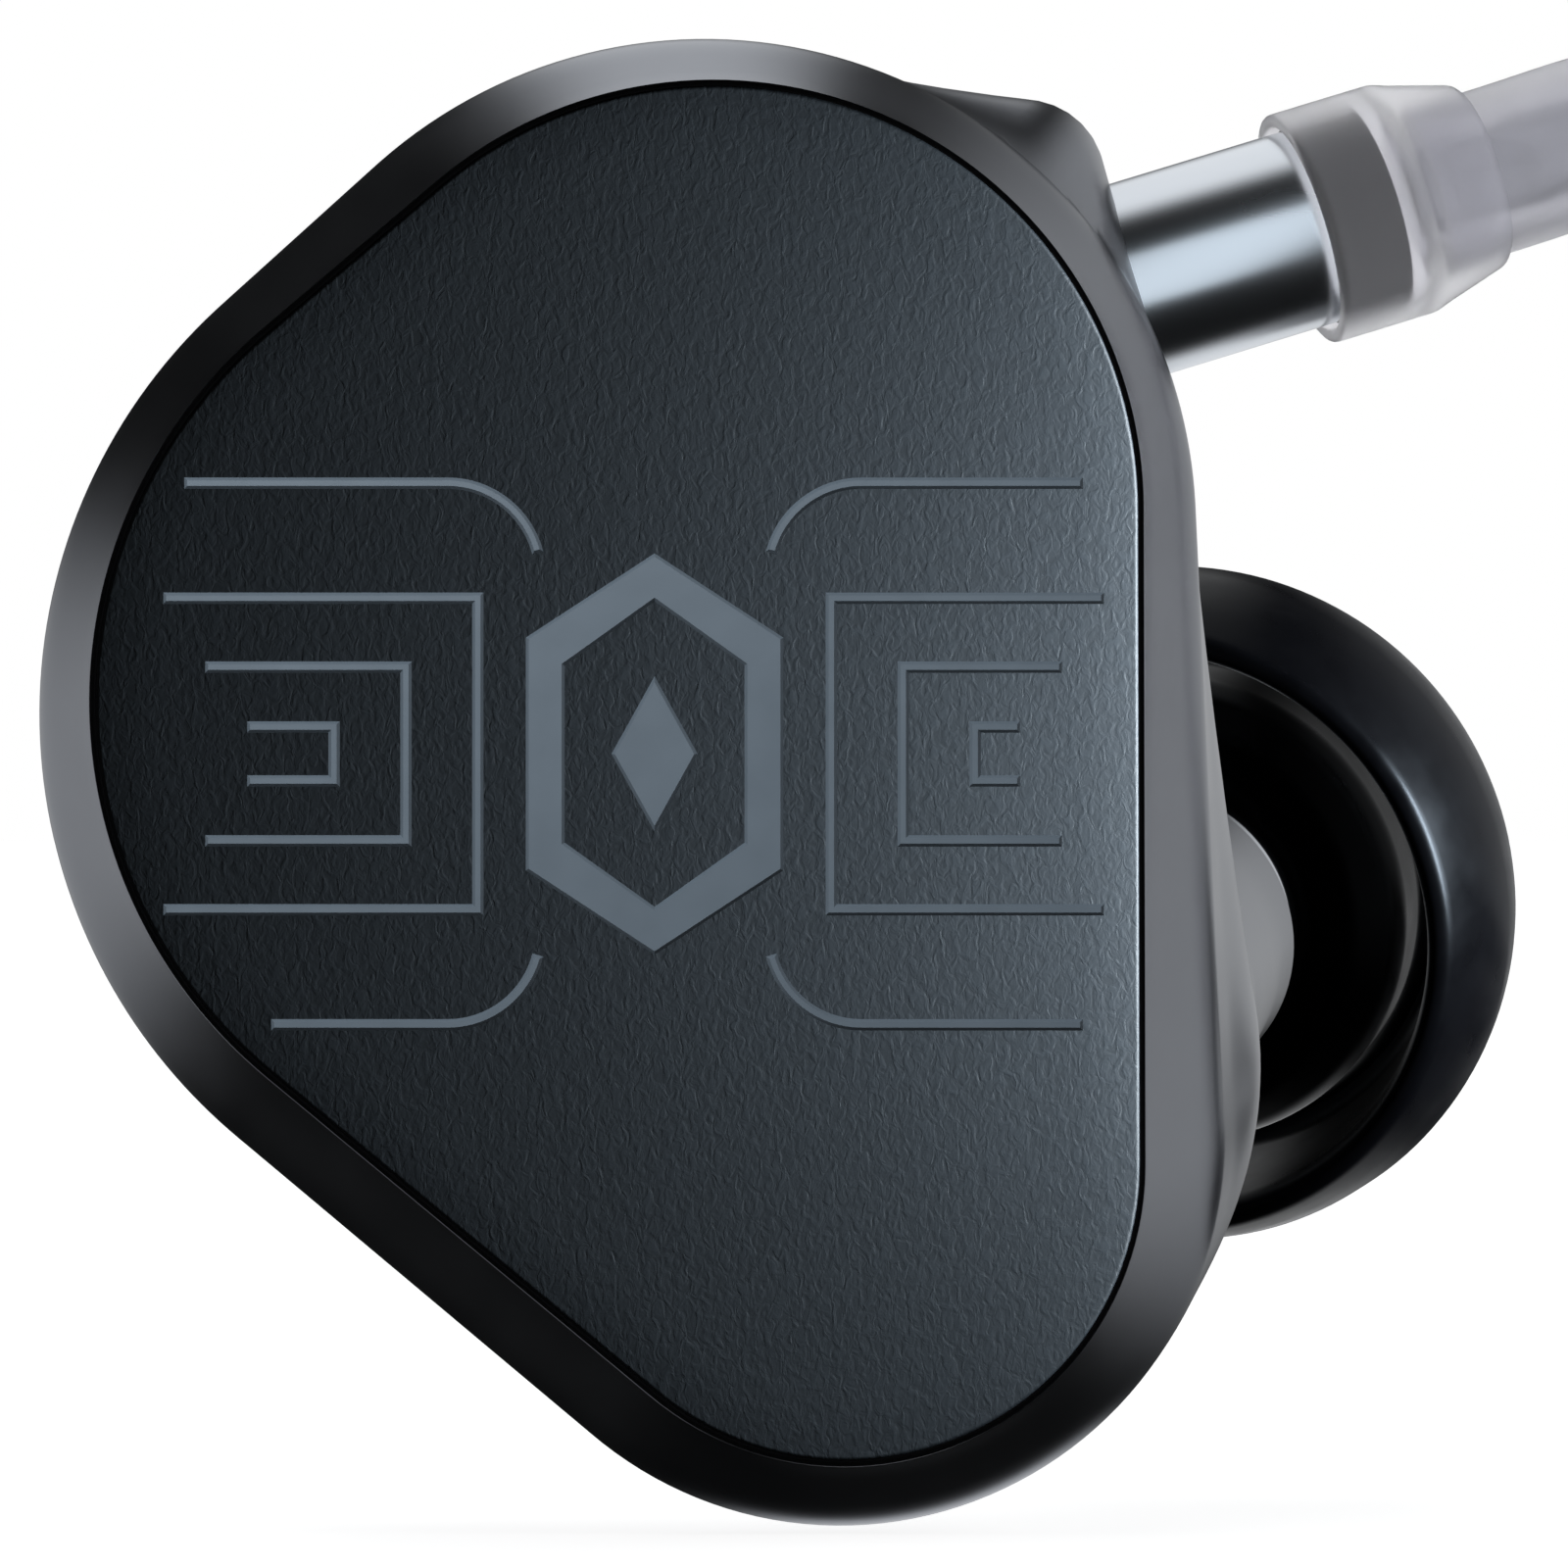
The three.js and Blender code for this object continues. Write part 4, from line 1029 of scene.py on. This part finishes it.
slot_of_node = {part["node"]: part["material_slot"] for part in frame["record"]["subparts"]}
for node_name, node in frame["nodes"].items():
    node.data.materials.clear()
    node.data.materials.append(LOOKS[LOOK_OF_SLOT[slot_of_node[node_name]]])


# ---------------------------------------------------------------- light, backdrop and floor
world = bpy.data.worlds.new("studio")
bpy.context.scene.world = world
world.use_nodes = True
nodes, links = world.node_tree.nodes, world.node_tree.links
nodes.clear()


def math_node(operation, *values):
    node = nodes.new("ShaderNodeMath")
    node.operation = operation
    for i, value in enumerate(values):
        if isinstance(value, (int, float)):
            node.inputs[i].default_value = value
        else:
            links.new(value, node.inputs[i])
    return node.outputs[0]


def stepped(value, start, end):
    span = nodes.new("ShaderNodeMapRange")
    span.interpolation_type = "SMOOTHSTEP"
    links.new(value, span.inputs["Value"])
    span.inputs["From Min"].default_value = start
    span.inputs["From Max"].default_value = end
    return span.outputs["Result"]


# Soft strips that stand round the piece. Each has its angle round the Y axis, 0 at the right and 90 above,
# the half width of its even part, how far it fades beyond, its strength, and the reach of its ends along Y.
STRIPS = [
    ("top", 95, 5, 18, 1.10, -0.15, 0.9),
    ("left", 188, 7, 26, 0.62, -0.7, 0.95),
    ("right", 14, 4, 50, 0.60, -0.6, 1.4),
    ("below", 284, 10, 22, 1.00, 0.50, 1.4),
]
ENVIRONMENT = 0.008

coords = nodes.new("ShaderNodeTexCoord")
split = nodes.new("ShaderNodeSeparateXYZ")
links.new(coords.outputs["Generated"], split.inputs[0])
flat = nodes.new("ShaderNodeCombineXYZ")
links.new(split.outputs["X"], flat.inputs["X"])
links.new(split.outputs["Z"], flat.inputs["Z"])
heading = nodes.new("ShaderNodeVectorMath")
heading.operation = "NORMALIZE"
links.new(flat.outputs[0], heading.inputs[0])
total = math_node("ADD", ENVIRONMENT, 0.0)
for label, angle, half, fade, strength, front, back in STRIPS:
    towards = nodes.new("ShaderNodeVectorMath")
    towards.operation = "DOT_PRODUCT"
    towards.label = label
    links.new(heading.outputs[0], towards.inputs[0])
    towards.inputs[1].default_value = (math.cos(math.radians(angle)), 0, math.sin(math.radians(angle)))
    dark_edge, lit_edge = math.cos(math.radians(half + fade)), math.cos(math.radians(half))
    wide = stepped(towards.outputs["Value"], dark_edge, lit_edge)
    near_end = stepped(split.outputs["Y"], front - 0.2, front + 0.2)
    far_end = math_node("SUBTRACT", 1.0, stepped(split.outputs["Y"], back - 0.1, back + 0.1))
    lit = math_node("MULTIPLY", math_node("MULTIPLY", wide, near_end), far_end)
    total = math_node("ADD", total, math_node("MULTIPLY", lit, strength))

studio = nodes.new("ShaderNodeBackground")
studio.inputs["Color"].default_value = (0.97, 0.985, 1.0, 1)
links.new(total, studio.inputs["Strength"])
backdrop = nodes.new("ShaderNodeBackground")
backdrop.inputs["Color"].default_value = (1, 1, 1, 1)
path_kind = nodes.new("ShaderNodeLightPath")
seen = math_node("MAXIMUM", path_kind.outputs["Is Camera Ray"], path_kind.outputs["Is Transmission Ray"])
choose = nodes.new("ShaderNodeMixShader")
links.new(seen, choose.inputs[0])
links.new(studio.outputs[0], choose.inputs[1])
links.new(backdrop.outputs[0], choose.inputs[2])
output = nodes.new("ShaderNodeOutputWorld")
links.new(choose.outputs[0], output.inputs["Surface"])


COOL = (0.84, 0.93, 1.0)


def softbox(name, at, towards, size, power):
    lamp = bpy.data.lights.new(name, "AREA")
    lamp.shape = "RECTANGLE"
    lamp.size, lamp.size_y = size[0] * MM, size[1] * MM
    lamp.energy = power
    lamp.color = COOL
    light = bpy.data.objects.new(name, lamp)
    bpy.context.scene.collection.objects.link(light)
    light.location = place(at)
    aim = Vector(place(towards) - place(at))
    light.rotation_euler = aim.to_track_quat("-Z", "Y").to_euler()
    light.visible_camera = False
    return light


def only_on(light, *pieces):
    """Keeps a light to the pieces it is set up for; nothing else shades them from it."""
    lit = bpy.data.collections.new(light.name + "_pieces")
    for piece in pieces:
        lit.objects.link(piece)
    light.light_linking.receiver_collection = lit
    light.light_linking.blocker_collection = lit


only_on(softbox("plate_light", (17, -4, 14), (0, 0, 13), (4, 18), 0.035), plate)
only_on(softbox("relief_light", (-12, -42, 38), (0, 0, 13), (24, 24), 0.022), relief)
only_on(softbox("tip_light", (38, 2, 16), (14, 11, 10), (8, 14), 0.085), silicone_tip)
only_on(softbox("barrel_light", (31, -46, 25), (11, 5, 22), (30, 60), 0.0068), barrel)

FLOOR_REACH = 3                  # metres from the middle to each edge
FLOOR_DROP = 0.00005             # metres below the part's lowest point, so that the two never share a plane
ground = bpy.data.meshes.new("floor")
ground.from_pydata([
    (x * FLOOR_REACH, y * FLOOR_REACH, -FLOOR_DROP) for x, y in ((-1, -1), (1, -1), (1, 1), (-1, 1))
], [], [(0, 1, 2, 3)])
floor = bpy.data.objects.new("floor", ground)
bpy.context.scene.collection.objects.link(floor)
pale, _, _, floor_shader = new_look("pale_floor")
floor_shader.inputs["Base Color"].default_value = (0.9, 0.9, 0.9, 1)
floor_shader.inputs["Roughness"].default_value = 1.0
floor_shader.inputs["Emission Color"].default_value = (1, 1, 1, 1)
floor_shader.inputs["Emission Strength"].default_value = 0.86
floor.data.materials.append(pale)
floor.visible_glossy = False
floor.visible_diffuse = False

bpy.context.scene.view_settings.view_transform = "Standard"
